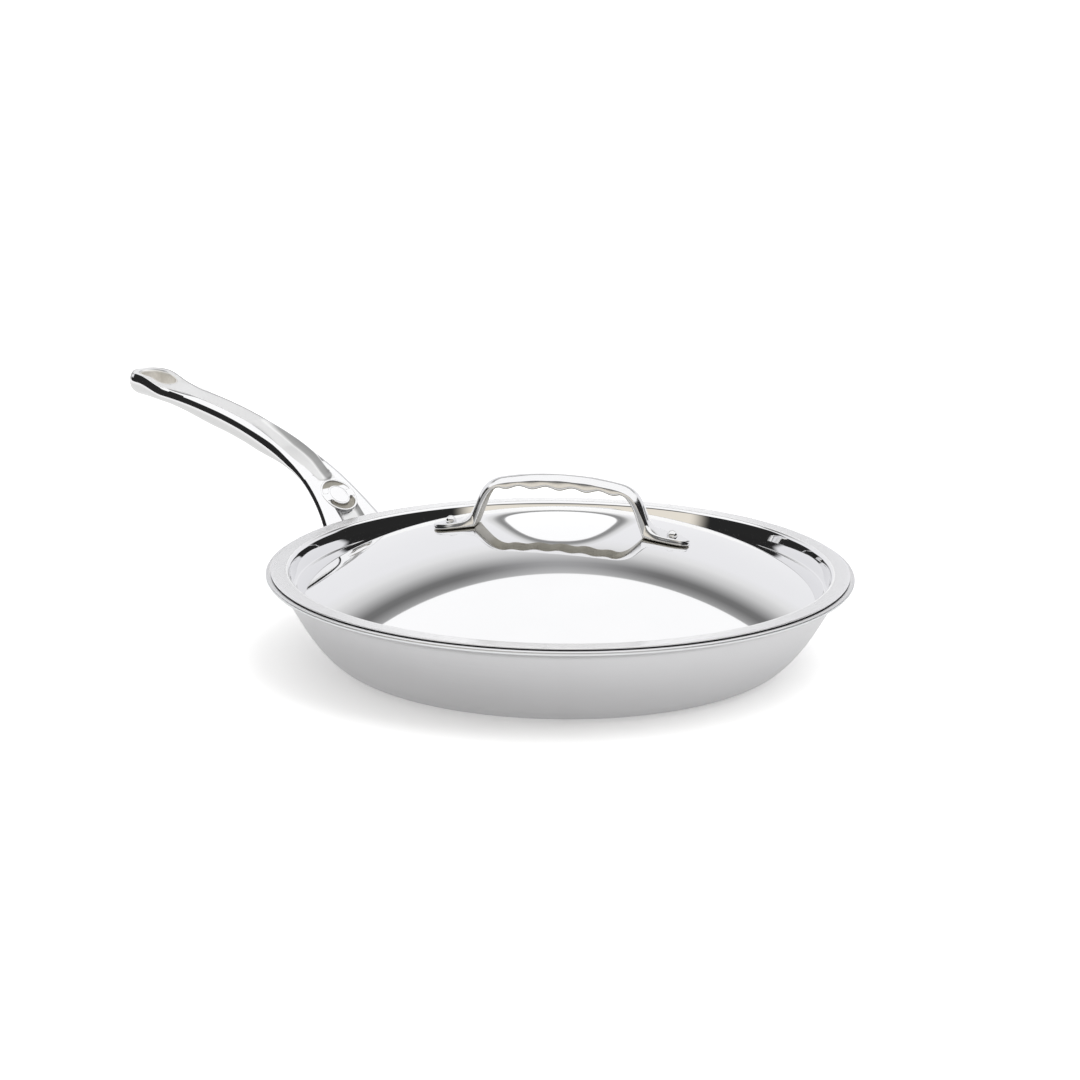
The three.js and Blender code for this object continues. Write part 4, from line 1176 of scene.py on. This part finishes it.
# Light over height: degrees and colours
ARCH_STOPS = (
    (24, FAR_LIGHT), (28, grey(0.76)), (32.2, grey(0.56)), (34.6, grey(0.36)), (37, grey(0.17)),
    (38.6, grey(0.16)), (40, grey(0.24)), (41.9, grey(0.36)), (42.1, grey(1)),
)
FLANK_STOPS = ((24, FAR_LIGHT), (34, grey(1)))
DARK_STOPS = ((29, grey(0.02)), (31.5, grey(1)))
CARD_STOPS = (
    (0, grey(0.3)), (8, grey(0.42)), (15, CARD_LIGHT), (21, CARD_LIGHT), (25, grey(0.12)),
    (42, grey(0.12)), (46, grey(1)),
)

# Light of the strip lamp from its middle out: half of a half size, and colours
LAMP_STOPS = (
    (0, grey(1)), (0.495, grey(1)), (0.51, grey(0.3)), (0.54, grey(0.24)), (0.565, grey(0.34)),
    (0.6, grey(0.64)), (0.66, FAR_LIGHT),
)

away = Vector((-math.sin(VIEW_AZIMUTH), math.cos(VIEW_AZIMUTH), 0))
right = Vector((math.cos(VIEW_AZIMUTH), math.sin(VIEW_AZIMUTH), 0))


def seen(graph):
    """1 for rays that look at a surface: from the camera, or by way of metal or glass."""
    path = graph.node("ShaderNodeLightPath").outputs
    shiny = graph.math("MAXIMUM", path["Is Glossy Ray"], path["Is Transmission Ray"])
    return graph.math("MAXIMUM", path["Is Camera Ray"], shiny)


def floor():
    mesh = bpy.data.meshes.new("floor")
    corners = [(x * FLOOR_SIZE, y * FLOOR_SIZE, 0) for x, y in ((-1, -1), (1, -1), (1, 1), (-1, 1))]
    mesh.from_pydata(corners, [], [(0, 1, 2, 3)])
    material = bpy.data.materials.new("floor")
    material.use_nodes = True
    graph = Graph(material.node_tree)
    shader = material.node_tree.nodes["Principled BSDF"]
    by_camera = graph.node("ShaderNodeLightPath").outputs["Is Camera Ray"]
    graph.put(shader.inputs["Base Color"], graph.mix(by_camera, grey(FLOOR_COLOUR), grey(FLOOR_SEEN)))
    shader.inputs["Roughness"].default_value = FLOOR_ROUGHNESS
    shader.inputs["Specular IOR Level"].default_value = 0
    shader.inputs["Emission Color"].default_value = (1, 1, 1, 1)
    graph.put(shader.inputs["Emission Strength"], graph.math("MULTIPLY", seen(graph), FLOOR_GLOW))
    mesh.materials.append(material)
    made = bpy.data.objects.new("floor", mesh)
    bpy.context.scene.collection.objects.link(made)


def sine(degrees):
    return math.sin(math.radians(degrees))


def by_height(graph, height, stops):
    return graph.ramp(height, [(sine(degrees), colour) for degrees, colour in stops])


def studio():
    world = bpy.data.worlds.new("studio")
    bpy.context.scene.world = world
    world.use_nodes = True
    graph = Graph(world.node_tree)
    direction = graph.node("ShaderNodeTexCoord").outputs["Generated"]
    height = graph.split(direction)[2]
    forward = graph.dot(direction, away)
    sideways = graph.dot(direction, right)
    flat = graph.math("SQRT", graph.math("SUBTRACT", POLE_MARGIN, graph.math("MULTIPLY", height, height)))
    toward = graph.math("DIVIDE", forward, flat)
    sides = graph.math("ABSOLUTE", sideways)
    beside = graph.remap(graph.math("DIVIDE", sides, flat), BESIDE_EDGE, (0, 1), "SMOOTHSTEP")
    low = graph.remap(height, [sine(degrees) for degrees in LOW_RANGE], (LOW_START, 0), "SMOOTHSTEP")
    behind = graph.remap(graph.math("SUBTRACT", toward, low), BEHIND_EDGE, (0, 1), "SMOOTHSTEP")
    card_way = away * math.cos(CARD_AZIMUTH) + right * math.sin(CARD_AZIMUTH)
    to_card = graph.math("DIVIDE", graph.dot(direction, card_way), flat)
    on_card = graph.remap(to_card, CARD_EDGE, (0, 1), "SMOOTHSTEP")
    tilted = graph.math("MULTIPLY_ADD", sideways, ARCH_LEAN, height)
    arch = by_height(graph, tilted, ARCH_STOPS)
    middle = graph.remap(sides, (0, ARCH_MIDDLE), (ARCH_MIDDLE_LIGHT, 0), "SMOOTHSTEP")
    under_edge = graph.math("LESS_THAN", tilted, sine(ARCH_EDGE))
    far = graph.mix(graph.math("MULTIPLY", middle, under_edge), arch, FAR_LIGHT)
    flank = by_height(graph, height, FLANK_STOPS)
    dark = by_height(graph, height, DARK_STOPS)
    card = by_height(graph, height, CARD_STOPS)
    room = graph.mix(behind, graph.mix(on_card, dark, card), graph.mix(beside, far, flank))
    strip_x = graph.math("POWER", graph.math("DIVIDE", sides, STRIP_HALF[0]), STRIP_POWER)
    off_centre = graph.math("ABSOLUTE", graph.math("SUBTRACT", height, STRIP_HEIGHT))
    strip_y = graph.math("POWER", graph.math("DIVIDE", off_centre, STRIP_HALF[1]), STRIP_POWER)
    strip = graph.math("POWER", graph.math("ADD", strip_x, strip_y), 1 / STRIP_POWER)
    lamp = graph.ramp(graph.math("MULTIPLY", strip, 0.5), LAMP_STOPS)
    near_strip = graph.math("LESS_THAN", strip, STRIP_REACH)
    on_lamp = graph.math("MULTIPLY", near_strip, graph.math("GREATER_THAN", forward, 0.0))
    room = graph.mix(on_lamp, room, lamp)
    shader = world.node_tree.nodes["Background"]
    graph.put(shader.inputs["Color"], room)
    shader.inputs["Strength"].default_value = LIGHT_LEVEL
    white = graph.node("ShaderNodeBackground")
    choose = graph.node("ShaderNodeMixShader")
    graph.put(choose.inputs[0], graph.node("ShaderNodeLightPath").outputs["Is Camera Ray"])
    graph.put(choose.inputs[1], shader.outputs[0])
    graph.put(choose.inputs[2], white.outputs[0])
    white.inputs["Color"].default_value = (1, 1, 1, 1)
    graph.put(world.node_tree.nodes["World Output"].inputs["Surface"], choose.outputs[0])


def key_light():
    lamp = bpy.data.lights.new("key", "SUN")
    lamp.energy = KEY_STRENGTH
    lamp.angle = KEY_SPREAD
    made = bpy.data.objects.new("key", lamp)
    source = right * KEY_RIGHT + away * KEY_AWAY + Vector((0, 0, 1))
    made.rotation_euler = source.to_track_quat("Z", "Y").to_euler()
    made.visible_glossy = False
    bpy.context.scene.collection.objects.link(made)


def camera():
    lens = bpy.data.cameras.new("camera")
    lens.lens = LENS
    lens.sensor_width = SENSOR
    lens.shift_x, lens.shift_y = SHIFT
    made = bpy.data.objects.new("camera", lens)
    bpy.context.scene.collection.objects.link(made)
    level_view = math.cos(VIEW_ELEVATION) * VIEW_DISTANCE
    made.location = VIEW_TARGET - away * level_view + Vector((0, 0, math.sin(VIEW_ELEVATION) * VIEW_DISTANCE))
    look = (VIEW_TARGET - made.location).to_track_quat("-Z", "Y").to_matrix()
    made.rotation_euler = (look @ Matrix.Rotation(VIEW_ROLL, 3, "Z")).to_euler()
    bpy.context.scene.camera = made


floor()
studio()
key_light()
camera()
bpy.context.scene.view_settings.view_transform = "Standard"
